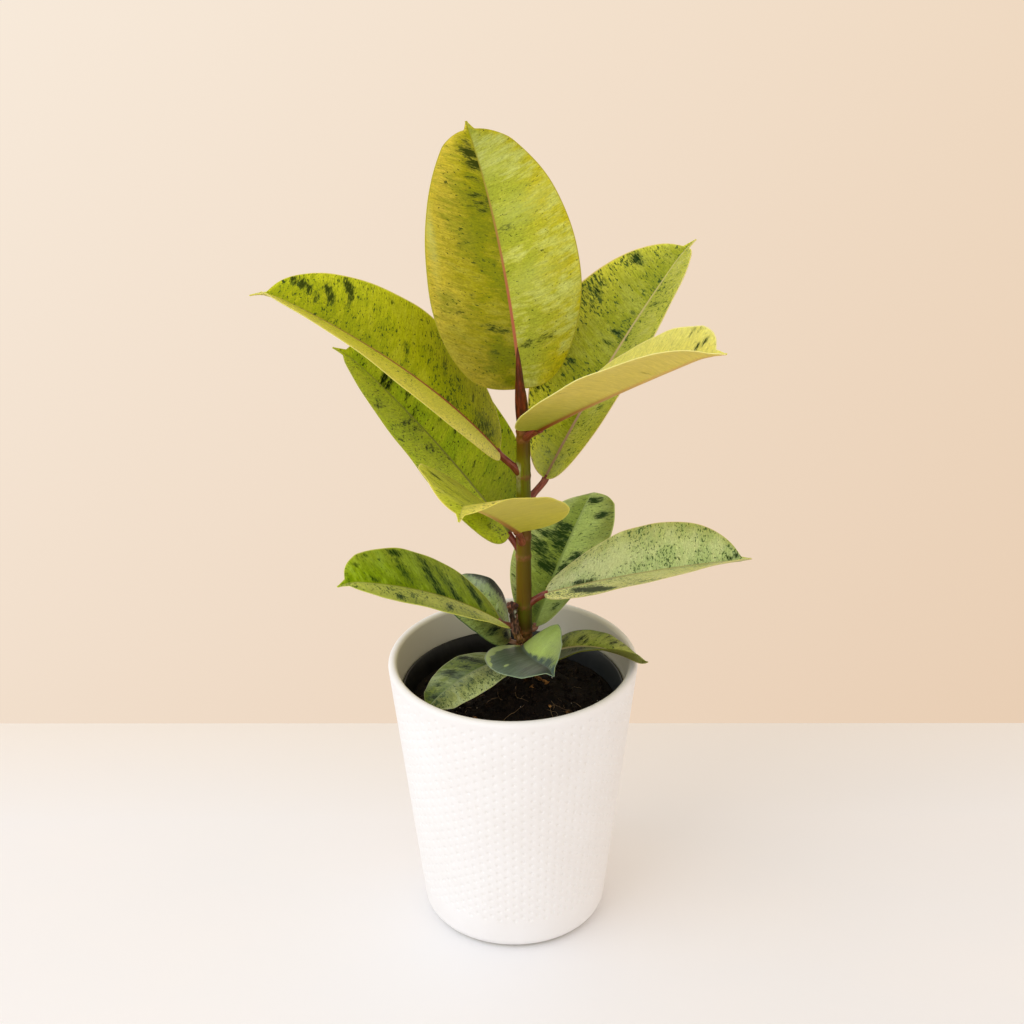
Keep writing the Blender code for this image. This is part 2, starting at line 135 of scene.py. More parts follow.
def direction(heading, rise):
    a = math.radians(heading)
    e = math.radians(rise)
    return np.array([math.cos(e) * math.cos(a), math.cos(e) * math.sin(a), math.sin(e)])


def circle(radius, height, steps):
    # points round the pots' axis, in metres. height is a number, or a function of x and y
    points = []
    for step in range(steps):
        angle = 2 * math.pi * step / steps
        x, y = radius * math.cos(angle), radius * math.sin(angle)
        points.append((x * mm, y * mm, (height(x, y) if callable(height) else height) * mm))
    return points


def gridFaces(rows, columns, start=0, wrap=False, flip=False):
    # quads between neighbouring points of a grid whose rows follow each other
    faces = []
    for row in range(rows - 1):
        here = start + row * columns
        for column in range(columns if wrap else columns - 1):
            after = (column + 1) % columns
            face = (here + column, here + after, here + columns + after, here + columns + column)
            faces.append(face[::-1] if flip else face)
    return faces


def smoothPath(points, count):
    # points spaced along a smooth curve through the given ones
    points = [np.array(point, float) for point in points]
    padded = [2 * points[0] - points[1]] + points + [2 * points[-1] - points[-2]]
    found = []
    for place in np.linspace(0, len(points) - 1 - 1e-6, count):
        leg = int(place)
        t = place - leg
        a, b, c, d = padded[leg:leg + 4]
        bend = (2 * a - 5 * b + 4 * c - d) * t**2 + (3 * b - a - 3 * c + d) * t**3
        found.append(0.5 * ((2 * b) + (c - a) * t + bend))
    return found


def tubeAlong(path, radii, sides, squeeze=None):
    # rings of points round a path, each square to it, and the faces between them
    path = [Vector(point) for point in path]
    points, normal = [], None
    for index, spot in enumerate(path):
        before = path[max(0, index - 1)]
        after = path[min(len(path) - 1, index + 1)]
        tangent = (after - before).normalized()
        if normal is None:
            normal = Vector((0, 0, 1)) if abs(tangent.z) < 0.9 else Vector((0, -1, 0))
        normal = (normal - tangent * normal.dot(tangent)).normalized()
        side = tangent.cross(normal)
        for step in range(sides):
            angle = 2 * math.pi * step / sides
            radius = radii[index] * (squeeze(index, angle) if squeeze else 1)
            points.append(spot + (normal * math.cos(angle) + side * math.sin(angle)) * radius)
    faces = gridFaces(len(path), sides, wrap=True)
    faces.append(tuple(reversed(range(sides))))
    faces.append(tuple(range(len(points) - sides, len(points))))
    return points, faces


# The camera: a little above the plant, looking down at it.
view = dict(lens=75, place=(0.0002, -1.028, 0.774), down=26.79, roll=-0.5)

camera = bpy.data.objects.new("camera", bpy.data.cameras.new("camera"))
camera.data.lens = view["lens"]
camera.data.sensor_width = 36
camera.location = view["place"]
tilt = Euler((math.radians(90 - view["down"]), 0, 0)).to_matrix()
camera.rotation_euler = (tilt @ Matrix.Rotation(math.radians(view["roll"]), 3, "Z")).to_euler()
scene.collection.objects.link(camera)
scene.camera = camera
print("camera placed")


# The studio: a white table, a warm pale surround behind it, and a large soft light at the left.
studio = dict(
    tableColour="#F1F2F5", tablePale="#F3F3F5", tableWarmBounce="#F0EBE5",
    tableBack=(0.228, 0.151), tableReach=2.5,
    wallLeft="#F8EADA", wallRight="#EFD9C1", wallFoot=(0.94, 0.89, 0.85), wallBright=1.0,
    roomLeft="#FCFDFD", roomRight="#F8EADC", roomBright=(1.0, 0.96),
    keyPlace=(-1.2, -0.9, 1.3), keyAim=(0, 0, 0.2), keySize=1.7, keyPower=12, keyColour="#F0F6FF",
)

# painted board: matte, with a faint mottle from the roller, and painted warm light toward its far edge,
# as bounced from the wall behind
paint, tree, shader = newMaterial("matte white table paint")
mottle = addNode(tree, "TexNoise", {"Scale": 40, "Detail": 3})
tableTone = addNode(
    tree, "ValToRGB", {"Fac": mottle},
    stops=[(0.3, studio["tableColour"]), (0.7, studio["tablePale"])],
)
onTable = addNode(tree, "SeparateXYZ", {0: addNode(tree, "TexCoord").outputs["Object"]})
far = addNode(tree, "MapRange", {"Value": onTable.outputs["Y"], "From Min": 0.08, "From Max": 0.19})
tableShade = addNode(
    tree, "Mix", {0: far, 6: tableTone, 7: studio["tableWarmBounce"]}, data_type="RGBA",
)
setInputs(shader, {"Base Color": tableShade, "Roughness": 0.55})

tableMesh = bpy.data.meshes.new("table_top")
reach = studio["tableReach"]
backLeft, backRight = studio["tableBack"]
corners = [(-reach, -reach, 0), (reach, -reach, 0), (reach, backRight, 0), (-reach, backLeft, 0)]
tableMesh.from_pydata(corners, [], [(0, 1, 2, 3)])
tableMesh.materials.append(paint)
table = bpy.data.objects.new("table_top", tableMesh)
scene.collection.objects.link(table)

world = bpy.data.worlds.new("studio")
scene.world = world
world.use_nodes = True
tree = world.node_tree
looking = addNode(tree, "TexCoord").outputs["Generated"]
x, y, z = addNode(tree, "SeparateXYZ", {0: looking}).outputs
wall = addNode(
    tree, "ValToRGB",
    {"Fac": addNode(tree, "MapRange", {"Value": x, "From Min": -0.24, "From Max": 0.24})},
    stops=[(0, studio["wallLeft"]), (1, studio["wallRight"])],
)
low = addNode(tree, "MapRange", {"Value": z, "From Min": -0.23, "From Max": -0.53})
wallShade = addNode(
    tree, "Mix", {0: low, 4: (1, 1, 1), 5: studio["wallFoot"]}, data_type="VECTOR",
)
shadedWall = addNode(tree, "VectorMath", {0: wall, 1: wallShade}, operation="MULTIPLY")
behind = addNode(
    tree, "MapRange", {"Value": y, "From Min": -0.1, "From Max": 0.5},
    interpolation_type="SMOOTHSTEP",
)
sideways = addNode(tree, "MapRange", {"Value": x, "From Min": -0.8, "From Max": 0.8})
room = addNode(
    tree, "Mix", {0: sideways, 6: studio["roomLeft"], 7: studio["roomRight"]}, data_type="RGBA",
)
brightLeft, brightRight = studio["roomBright"]
roomBright = addNode(tree, "Mix", {0: sideways, 2: brightLeft, 3: brightRight})
setInputs(tree.nodes["Background"], {
    "Color": addNode(tree, "Mix", {0: behind, 6: room, 7: shadedWall}, data_type="RGBA"),
    "Strength": addNode(tree, "Mix", {0: behind, 2: roomBright, 3: studio["wallBright"]}),
})

key = bpy.data.objects.new("key", bpy.data.lights.new("key", "AREA"))
key.data.size = studio["keySize"]
key.data.energy = studio["keyPower"]
key.data.color = linear(studio["keyColour"])[:3]
key.location = studio["keyPlace"]
aim = Vector(key.location) - Vector(studio["keyAim"])
key.rotation_euler = aim.to_track_quat("Z", "Y").to_euler()
scene.collection.objects.link(key)
print("studio lit")


# Planter: slip-cast stoneware under a matte white glaze, pressed all over with small dimples.
# Each ring of a dimple is given as its radius and how far it is sunk. Inside, painted shade
# darkens and yellows the glaze between two distances in from the outer wall.
planter = dict(
    height=164, topRadius=70, footRadius=51.5, wall=5, floor=6, footRound=9.5, footFlat=20,
    innerRound=5, columns=78, pitch=5.85, firstRow=157.2, rows=24,
    dimple=((1.5, 0.0), (1.25, 0.08), (0.9, 0.30), (0.45, 0.46)), depth=0.5,
    glaze="#F6F5F5", glazeThin="#F3F1F0", biscuit="#DDD3C4", biscuitPale="#E8E0D3",
    glazeInsideShade="#E6E1CE", insideBand=(3.0, 4.6),
)


def glazeMaterial():
    # matte white glaze on stoneware: soft wide highlights, a slightly warm tone where it is
    # thin, a faint unevenness from the dipping, painted shade inside, and the bare biscuit on the foot
    material, tree, shader = newMaterial("matte white glaze on stoneware")
    place = addNode(tree, "TexCoord").outputs["Object"]
    cloud = addNode(tree, "TexNoise", {"Vector": place, "Scale": 28, "Detail": 4, "Roughness": 0.55})
    tone = addNode(
        tree, "ValToRGB", {"Fac": cloud},
        stops=[(0.35, planter["glazeThin"]), (0.62, planter["glaze"])],
    )
    height = addNode(tree, "SeparateXYZ", {0: place}).outputs["Z"]
    bare = addNode(tree, "MapRange", {"Value": height, "From Min": 1.2 * mm, "From Max": 0.5 * mm})
    grain = addNode(tree, "TexNoise", {"Vector": place, "Scale": 900, "Detail": 2})
    sand = addNode(
        tree, "ValToRGB", {"Fac": grain},
        stops=[(0.4, planter["biscuit"]), (0.6, planter["biscuitPale"])],
    )
    # inside, the glaze is painted darker and yellower: painted shade, with the yellow of light bounced
    # off the leaves and soil. The wall leans out by slant as it rises
    slant = (planter["topRadius"] - planter["footRadius"]) / planter["height"]
    level = addNode(tree, "VectorMath", {0: place, 1: (1, 1, 0)}, operation="MULTIPLY")
    radius = addNode(tree, "VectorMath", {0: level}, operation="LENGTH")
    lean = addNode(tree, "Math", {0: height, 1: -slant, 2: radius}, operation="MULTIPLY_ADD")
    start, end = ((planter["footRadius"] - depth) * mm for depth in planter["insideBand"])
    inside = addNode(tree, "MapRange", {"Value": lean, "From Min": start, "From Max": end})
    colour = tone
    for share, coat in ((inside, planter["glazeInsideShade"]), (bare, sand)):
        colour = addNode(tree, "Mix", {0: share, 6: colour, 7: coat}, data_type="RGBA")
    gloss = addNode(tree, "MapRange", {"Value": cloud, "To Min": 0.52, "To Max": 0.40})
    # the glaze's orange peel is about 1.5 mm wide
    peel = addNode(tree, "TexNoise", {"Vector": place, "Scale": 650, "Detail": 2})
    bump = addNode(tree, "Bump", {"Height": peel, "Strength": 0.25, "Distance": 0.06 * mm})
    setInputs(shader, {"Base Color": colour, "Roughness": gloss, "Normal": bump, "IOR": 1.5})
    return material


def arc(centre, radius, start, end, count):
    angles = np.radians(np.linspace(start, end, count))
    return [(centre[0] + radius * math.cos(a), centre[1] + radius * math.sin(a)) for a in angles]


def makePlanter():
    taper = math.atan2(planter["topRadius"] - planter["footRadius"], planter["height"])
    degrees = math.degrees(taper)
    thick = planter["wall"] / math.cos(taper)
    lip = planter["wall"] / 2
    half = planter["pitch"] / 2
    top = planter["firstRow"] + half
    gridRows = 2 * planter["rows"] + 1
    angles = 2 * planter["columns"]
    points, faces = [], []

    def outer(height):
        return planter["footRadius"] + height * math.tan(taper)

    def corner(base, rounding, inward=0):
        # the centre of a rounding that meets the wall, or a wall that lies inward of it
        height = base + rounding
        return (outer(height) - inward - rounding / math.cos(taper), height)

    def place(radius, turn, height):
        # turn counts the angles; the middle of a column faces the front
        angle = math.radians(270) + 2 * math.pi * (turn - 1) / angles
        points.append((radius * math.cos(angle) * mm, radius * math.sin(angle) * mm, height * mm))
        return len(points) - 1

    def join(profile, above=None):
        # a ring of points for each radius and height, with faces between them
        rings = [above] if above else []
        rings += [[place(radius, turn, height) for turn in range(angles)] for radius, height in profile]
        for upper, lower in zip(rings, rings[1:]):
            for turn in range(angles):
                after = (turn + 1) % angles
                faces.append((upper[turn], lower[turn], lower[after], upper[after]))
        return rings

    # from the floor inside, up the wall and over the lip
    rounding = planter["innerRound"]
    inner = arc(corner(planter["floor"], rounding, thick), rounding, -90, -degrees, 7)
    lipCentre = corner(planter["height"] - 2 * lip, lip)
    lipArc = arc(lipCentre, lip, 180 - degrees, -degrees, 15)
    wallFoot, wallTop = inner[-1], lipArc[0]
    innerWall = [
        (between((wallFoot[0], wallTop[0]), share), between((wallFoot[1], wallTop[1]), share))
        for share in np.linspace(0, 1, 14)[1:-1]
    ]
    rings = join(inner + innerWall + lipArc)
    floorMiddle = place(0, 0, planter["floor"])
    for turn in range(angles):
        faces.append((floorMiddle, rings[0][turn], rings[0][(turn + 1) % angles]))

    # down the outside: dimples in every other place of a grid, each in a frame of eight points
    heights = [top - half * row for row in range(gridRows)]
    grid = [[place(outer(height), turn, height) for turn in range(angles)] for height in heights]
    for turn in range(angles):
        after = (turn + 1) % angles
        faces.append((rings[-1][turn], grid[0][turn], grid[0][after], rings[-1][after]))
    for column in range(planter["columns"]):
        left, centre, right = 2 * column, 2 * column + 1, (2 * column + 2) % angles
        first = column % 2
        for row in range(first, gridRows - 2, 2):
            above, level, below = grid[row:row + 3]
            inside = [
                above[right], above[centre], above[left], level[left],
                below[left], below[centre], below[right], level[right],
            ]
            middle = heights[row + 1]
            for radius, sunk in planter["dimple"]:
                ring = []
                for eighth in range(8):
                    swing = math.radians(45 + 45 * eighth)
                    height = middle + radius * math.sin(swing)
                    across = radius * math.cos(swing) / outer(height) * angles / (2 * math.pi)
                    ring.append(place(outer(height) - sunk, centre + across, height))
                for k in range(8):
                    after = (k + 1) % 8
                    faces.append((inside[k], inside[after], ring[after], ring[k]))
                inside = ring
            bottom = place(outer(middle) - planter["depth"], centre, middle)
            for k in range(8):
                faces.append((inside[k], inside[(k + 1) % 8], bottom))
        if first:
            for row in (0, gridRows - 2):
                above, below = grid[row:row + 2]
                for one, other in ((left, centre), (centre, right)):
                    faces.append((above[one], below[one], below[other], above[other]))

    # round the foot and across the flat underside
    foot = arc(corner(0, planter["footRound"]), planter["footRound"], -degrees, -90, 10)
    rings = join(foot + [(planter["footFlat"], 0)], above=grid[-1])
    underMiddle = place(0, 0, 0)
    for turn in range(angles):
        faces.append((underMiddle, rings[-1][(turn + 1) % angles], rings[-1][turn]))
    return newPiece("planter_glazed", points, faces, glazeMaterial(), "planter")


makePlanter()
print("planter made")


# Nursery pot: thin injection-moulded polypropylene, black, with a thicker band at the rim.
nursery = dict(
    rimHeight=146, rimRadius=62.2, band=7, bandTaper=0.8, bandStep=1.2, footRadius=41.5, wall=1.2,
    base=6.3, steps=144, drains=4, drainRadius=4.5, drainCircle=27, drainSides=12, soilLine=134,
    plastic="#0B0B09", plasticWorn="#1D1D18", plasticPaintedLight="#4A5054", dust="#4C4334",
)
bandFoot = nursery["rimHeight"] - nursery["band"]
neckRadius = nursery["rimRadius"] - nursery["bandTaper"] - nursery["bandStep"]


def nurseryInner(height):
    share = (height - nursery["base"]) / (bandFoot - nursery["base"])
    return between((nursery["footRadius"], neckRadius), share) - nursery["wall"]


def plasticMaterial():
    # moulded black polypropylene: a satin sheen with faint upright flow lines, a film of dry soil dust
    # where the mix has touched the wall, and painted light: a lighter bluish grey toward +x
    material, tree, shader = newMaterial("moulded black polypropylene")
    place = addNode(tree, "TexCoord").outputs["Object"]
    x, _, z = addNode(tree, "SeparateXYZ", {0: place}).outputs
    flow = addNode(tree, "VectorMath", {0: place, 1: (1, 1, 0.06)}, operation="MULTIPLY")
    lines = addNode(tree, "TexNoise", {"Vector": flow, "Scale": 420, "Detail": 3})
    tone = addNode(
        tree, "ValToRGB", {"Fac": lines},
        stops=[(0.35, nursery["plastic"]), (0.75, nursery["plasticWorn"])],
    )
    near = addNode(
        tree, "MapRange",
        {"Value": z, "From Min": (nursery["soilLine"] + 9) * mm,
         "From Max": nursery["soilLine"] * mm, "To Max": 0.35},
    )
    specks = addNode(tree, "TexNoise", {"Vector": place, "Scale": 260, "Detail": 5, "Roughness": 0.7})
    caught = addNode(tree, "MapRange", {"Value": specks, "From Min": 0.70, "From Max": 0.5})
    film = addNode(tree, "Math", {0: near, 1: caught}, operation="SUBTRACT", use_clamp=True)
    dusty = addNode(tree, "Math", {0: film, 1: 3.0}, operation="MULTIPLY", use_clamp=True)
    # painted light: toward +x the plastic is painted a lighter bluish grey, standing for the light that
    # falls on that side of the pot's inner wall
    paintedLight = addNode(
        tree, "MapRange", {"Value": x, "From Min": 8 * mm, "From Max": 60 * mm, "To Max": 0.5},
    )
    colour = tone
    for share, coat in ((paintedLight, nursery["plasticPaintedLight"]), (dusty, nursery["dust"])):
        colour = addNode(tree, "Mix", {0: share, 6: colour, 7: coat}, data_type="RGBA")
    gloss = addNode(tree, "MapRange", {"Value": lines, "To Min": 0.30, "To Max": 0.46})
    bump = addNode(tree, "Bump", {"Height": lines, "Strength": 0.3, "Distance": 0.08 * mm})
    setInputs(shader, {"Base Color": colour, "Roughness": gloss, "Normal": bump, "IOR": 1.49})
    return material


def drainCentres():
    angles = [2 * math.pi * (hole + 0.5) / nursery["drains"] for hole in range(nursery["drains"])]
    return [Vector((math.cos(a), math.sin(a))) * nursery["drainCircle"] * mm for a in angles]


def plateFaces(points, rim, start):
    # triangles of a disc with round holes, found by Blender's own triangulation
    sides = nursery["drainSides"]
    loops = [rim]
    for hole in range(nursery["drains"]):
        loops.append(range(start + hole * sides, start + (hole + 1) * sides))
    index = [point for loop in loops for point in loop]
    flat = [Vector(points[point][:2]) for point in index]
    edges, first = [], 0
    for loop in loops:
        edges += [(first + k, first + (k + 1) % len(loop)) for k in range(len(loop))]
        first += len(loop)
    faces = []
    for face in delaunay_2d_cdt(flat, edges, [], 1, 1e-7)[2]:
        middle = sum((flat[corner] for corner in face), Vector((0, 0))) / len(face)
        nearest = min((middle - centre).length for centre in drainCentres())
        if nearest > nursery["drainRadius"] * mm * 0.97:
            faces.append(tuple(index[corner] for corner in face))
    return faces


def makeNurseryPot():
    bottom = nursery["base"] + nursery["wall"]
    rim, edge = nursery["rimHeight"], nursery["rimRadius"]
    bandInner, bandOuter = edge - nursery["bandStep"], edge - nursery["bandTaper"]
    # up the inside, over the rim, down the band and down the outside to the foot
    profile = [
        (nurseryInner(bottom) - 3, bottom),
        (nurseryInner(bottom), bottom + 0.4),
        (nurseryInner(100), 100),
        (nurseryInner(bandFoot - 1), bandFoot - 1),
        (nurseryInner(bandFoot) + 0.3, bandFoot + 0.6),
        (bandInner - 0.1, rim - 0.6), (bandInner + 0.25, rim - 0.12), (edge - 0.45, rim),
        (edge - 0.1, rim - 0.3), (edge - 0.06, rim - 0.9),
        (bandOuter, bandFoot + 0.2), (bandOuter - 0.3, bandFoot),
        (neckRadius + 0.1, bandFoot), (neckRadius, bandFoot - 0.3),
        (nursery["footRadius"] + 0.2, nursery["base"] + 1.5),
        (nursery["footRadius"] - 1.2, nursery["base"]),
    ]
    steps, sides = nursery["steps"], nursery["drainSides"]
    points = []
    for radius, height in profile:
        points += circle(radius, height, steps)
    faces = gridFaces(len(profile), steps, wrap=True, flip=True)
    # the base plate: a ring of flat faces round the drain holes, inside and outside
    starts = []
    for rimRow, height in ((0, bottom), (len(profile) - 1, nursery["base"])):
        starts.append(len(points))
        for centre in drainCentres():
            for x, y, z in circle(nursery["drainRadius"], height, sides):
                points.append((centre.x + x, centre.y + y, z))
        plate = plateFaces(points, range(rimRow * steps, (rimRow + 1) * steps), starts[-1])
        faces += [face[::-1] if rimRow else face for face in plate]
    for hole in range(nursery["drains"]):
        top, low = (start + hole * sides for start in starts)
        for step in range(sides):
            after = (step + 1) % sides
            faces.append((top + step, top + after, low + after, low + step))
    piece = newPiece(
        "nursery_pot_moulded", points, faces, plasticMaterial(), "nursery_pot",
    )
    piece.data.set_sharp_from_angle(angle=math.radians(50))
    return piece


makeNurseryPot()
print("nursery pot made")


# Soil: a peat and bark potting mix, dark and moist, heaped a little round the stem. Tones are
# dark, middle and pale, and grain is the size of a material's clods.
soil = dict(
    edgeHeight=134, mound=11, moundSpread=24, lump=1.3, gap=0.3, rings=84, steps=220,
    wallHeights=(125, 80), relief=1.5, fineRelief=0.55,
    tones=("#0B0806", "#20160E", "#48341F"), grain=4,
)
# What lies loose on the bed. A piece is flat and long against its size, sinks in by a share of
# its height and is tipped over by a share of a turn, tilt. Places are x, y and reach.
loose = dict(
    soil_crumbs=dict(
        made="dried peat crumb", tones=("#100A07", "#20160F", "#4A3624"), grain=6,
        count=900, seed=7, sizes=(0.5, 2.3), flat=0.8, length=1.15, sink=0.3, tilt=1, places=(),
    ),
    bark_chips=dict(
        made="composted pine bark", tones=("#54381E", "#B27E42", "#E0AE70"), grain=9,
        count=12, seed=12, sizes=(1.0, 2.2), flat=0.5, length=2.1, sink=0.1, tilt=0.04,
        places=(
            (19, 9.6, 0.8), (14, 9.6, 0.8), (10.8, 1.6, 0.8), (6, 12, 1), (-12, -30, 12), (30, -26, 12),
        ),
    ),
    soil_grit=dict(
        made="crushed pumice grit", tones=("#8F8576", "#C9BFAE", "#DCD4C6"), grain=2,
        count=34, seed=23, sizes=(0.35, 0.95), flat=0.8, length=1.1, sink=0.1, tilt=1, places=(),
    ),
)
fibres = dict(
    count=130, seed=41, lengths=(4, 15), bends=(-0.35, 0.35), lifts=(-0.2, 1.3), radii=(0.09, 0.24),
    legs=8, sides=5, colour="#8C7350", dark="#4B3826",
    places=((-44, -6, 8), (40, -22, 8), (34, -34, 9), (8, -40, 16), (0, 0, 34)),
)
stemPlace = (6.5, 10.0)


def fromStem(x, y):
    return math.hypot(x - stemPlace[0], y - stemPlace[1])


def soilHeight(x, y):
    # the height of the bed's surface at x and y, all in millimetres
    edge = nurseryInner(soil["edgeHeight"]) - soil["gap"]
    inward = 1 - min(1, math.hypot(x, y) / edge) ** 4
    reach = fromStem(x, y) / soil["moundSpread"]
    waves = math.sin(x / 7 + 1.3) * math.sin(y / 9 + 0.4)
    ripples = math.sin((x + y) / 4.1) * math.cos((x - 2 * y) / 7.7)
    height = inward * (soil["mound"] * math.exp(-reach * reach) + soil["lump"] * (waves + 0.6 * ripples))
    spot = Vector((x, y, 0))
    lumps = noise.fractal(spot / 5.5, 1.0, 2.0, 4) * soil["relief"]
    crumbs = noise.fractal(spot / 1.4 + Vector((9, 3, 5)), 0.8, 2.0, 3) * soil["fineRelief"]
    return soil["edgeHeight"] + height + (lumps + crumbs) * (0.35 + 0.65 * inward)


def soilMaterial(name, tones, grain):
    # moist peat: nearly black and without gloss, browner where a crumb has dried, and rough
    # at every scale
    material, tree, shader = newMaterial(name)
    place = addNode(tree, "TexCoord").outputs["Object"]
    scale = 1 / (grain * mm)
    clods = addNode(tree, "TexNoise", {"Vector": place, "Scale": scale, "Detail": 5, "Roughness": 0.65})
    sand = addNode(tree, "TexNoise", {"Vector": place, "Scale": 900, "Detail": 3, "Roughness": 0.7})
    both = addNode(tree, "Mix", {0: 0.45, 2: clods, 3: sand})
    tone = addNode(tree, "ValToRGB", {"Fac": both}, stops=list(zip((0.42, 0.56, 0.68), tones)))
    bump = addNode(tree, "Bump", {"Height": both, "Strength": 0.9, "Distance": 0.7 * mm})
    setInputs(shader, {"Base Color": tone, "Normal": bump, "Roughness": 0.92, "Specular IOR Level": 0.3})
    return material


def makeSoilBed():
    rings, steps = soil["rings"], soil["steps"]
    edge = nurseryInner(soil["edgeHeight"]) - soil["gap"]
    points = [(0, 0, soilHeight(0, 0) * mm)]
    for ring in range(1, rings + 1):
        points += circle(edge * (ring / rings) ** 0.75, soilHeight, steps)
    faces = [(0, 1 + step, 1 + (step + 1) % steps) for step in range(steps)]
    # the bed goes down inside the pot to its floor
    heights = (*soil["wallHeights"], nursery["base"] + nursery["wall"] + soil["gap"])
    for height in heights:
        points += circle(nurseryInner(height) - soil["gap"], height, steps)
    faces += gridFaces(rings + len(heights), steps, start=1, wrap=True, flip=True)
    faces.append(tuple(reversed(range(len(points) - steps, len(points)))))
    mixed = soilMaterial("moist peat potting mix", soil["tones"], soil["grain"])
    return newPiece("soil_bed", points, faces, mixed, "soil")


def lumpShape(rng, size, kind):
    # an uneven small solid: twelve corners of an icosahedron, each pushed in or out
    golden = (1 + math.sqrt(5)) / 2
    corners = []
    for a, b in ((1, golden), (1, -golden), (-1, golden), (-1, -golden)):
        corners += [(0, a, b), (a, b, 0), (b, 0, a)]
    spots = [Vector(corner).normalized() for corner in sorted(corners)]
    faces = []
    for i, j, k in combinations(range(12), 3):
        a, b, c = spots[i], spots[j], spots[k]
        if max((a - b).length, (b - c).length, (a - c).length) < 1.2:
            faces.append((i, j, k) if (b - a).cross(c - a).dot(a) > 0 else (i, k, j))
    turns = [rng.uniform(0, 2 * math.pi) * share for share in (kind["tilt"], kind["tilt"], 1)]
    turn = Euler(turns).to_matrix()
    shaped = []
    for spot in spots:
        pushed = spot * size * rng.uniform(0.65, 1.15)
        shaped.append(turn @ Vector((pushed.x * kind["length"], pushed.y, pushed.z * kind["flat"])))
    return shaped, faces


def scatter(name, kind):
    # small uneven solids lying in the bed's surface, all over it or round the given places
    rng = random.Random(kind["seed"])
    smallest, largest = kind["sizes"]
    points, faces = [], []
    edge = nurseryInner(soil["edgeHeight"]) - 2.2
    for index in range(kind["count"]):
        if kind["places"]:
            x0, y0, reach = kind["places"][index % len(kind["places"])]
            x, y = rng.gauss(x0, reach), rng.gauss(y0, reach)
        else:
            radius = edge * math.sqrt(rng.random())
            angle = rng.uniform(0, 2 * math.pi)
            x, y = radius * math.cos(angle), radius * math.sin(angle)
        if fromStem(x, y) < 7 or math.hypot(x, y) > edge - 1:
            continue
        size = smallest * (largest / smallest) ** (rng.random() ** 2.2)
        shaped, shapeFaces = lumpShape(rng, size, kind)
        z = soilHeight(x, y) + size * kind["flat"] * (0.5 - kind["sink"])
        faces += [tuple(len(points) + corner for corner in face) for face in shapeFaces]
        points += [((x + p.x) * mm, (y + p.y) * mm, (z + p.z) * mm) for p in shaped]
    material = soilMaterial(kind["made"], kind["tones"], kind["grain"])
    return newPiece(name, points, faces, material, smooth=kind["tilt"] < 1)


def fibreMaterial():
    # coir and root fibres: dull straw brown, darker where they are wet
    material, tree, shader = newMaterial("coir and root fibre")
    place = addNode(tree, "TexCoord").outputs["Object"]
    wet = addNode(tree, "TexNoise", {"Vector": place, "Scale": 220, "Detail": 2})
    stops = [(0.38, fibres["dark"]), (0.62, fibres["colour"])]
    tone = addNode(tree, "ValToRGB", {"Fac": wet}, stops=stops)
    setInputs(shader, {"Base Color": tone, "Roughness": 0.8})
    return material


def makeFibres():
    rng = random.Random(fibres["seed"])
    points, faces = [], []
    edge = nurseryInner(soil["edgeHeight"]) - 3
    legs = fibres["legs"]
    for index in range(fibres["count"]):
        x0, y0, reach = fibres["places"][index % len(fibres["places"])]
        x, y = rng.gauss(x0, reach), rng.gauss(y0, reach)
        heading = rng.uniform(0, 2 * math.pi)
        bend, length, lift = (rng.uniform(*fibres[key]) for key in ("bends", "lengths", "lifts"))
        path = []
        for step in range(legs + 1):
            if math.hypot(x, y) > edge or fromStem(x, y) < 6:
                break
            arch = math.sin(math.pi * step / legs) * lift
            path.append((x * mm, y * mm, (soilHeight(x, y) + 0.25 + arch) * mm))
            x += math.cos(heading) * length / legs
            y += math.sin(heading) * length / legs
            heading += bend + rng.uniform(-0.2, 0.2)
        if len(path) < 5:
            continue
        radius = rng.uniform(*fibres["radii"]) * mm
        radii = [radius * (1 - 0.5 * step / len(path)) for step in range(len(path))]
        tube, tubeFaces = tubeAlong(path, radii, fibres["sides"])
        faces += [tuple(len(points) + corner for corner in face) for face in tubeFaces]
        points += tube
    return newPiece("soil_fibres", points, faces, fibreMaterial())


makeSoilBed()
for name, kind in loose.items():
    scatter(name, kind)
makeFibres()
print("soil made")


# Stem: green wood with a thin corky skin, ringed by a scar at each leaf. Its tones are given
# from the lowest place at 130 mm to the highest at 310 mm.
stem = dict(
    foot=95, top=304, radii=(4.5, 3.6), scarRing=0.4, scarWidth=2.2, sides=40,
    nodes=(298, 294, 272, 253, 235, 223, 192, 176, 173, 167, 165, 160, 159),
    toneReach=(130, 310),
    tones=(
        (0.11, "#1C0E06"), (0.22, "#40290B"), (0.27, "#513F0E"), (0.31, "#5C5B08"), (0.345, "#64650C"),
        (0.37, "#725914"), (0.42, "#6C560C"), (0.50, "#685508"), (0.56, "#675309"), (0.59, "#6E450F"),
        (0.62, "#6B5110"), (0.75, "#757C0A"), (0.83, "#7E7C0F"), (0.88, "#6C5A06"), (0.92, "#6E4C0E"),
        (0.945, "#613008"), (0.97, "#5A2410"), (1.0, "#5C2412"),
    ),
    cork="#6A4518", lenticel="#A88F5A", scar="#8A5A34", callus="#B9B88C",
    callusHeight=277.5, paleHeight=271,
)


def stemRadius(height):
    share = (height - stem["foot"]) / (stem["top"] - stem["foot"])
    rings = sum(max(0, 1 - abs(height - node) / stem["scarWidth"]) for node in stem["nodes"])
    return between(stem["radii"], share * share) + stem["scarRing"] * rings


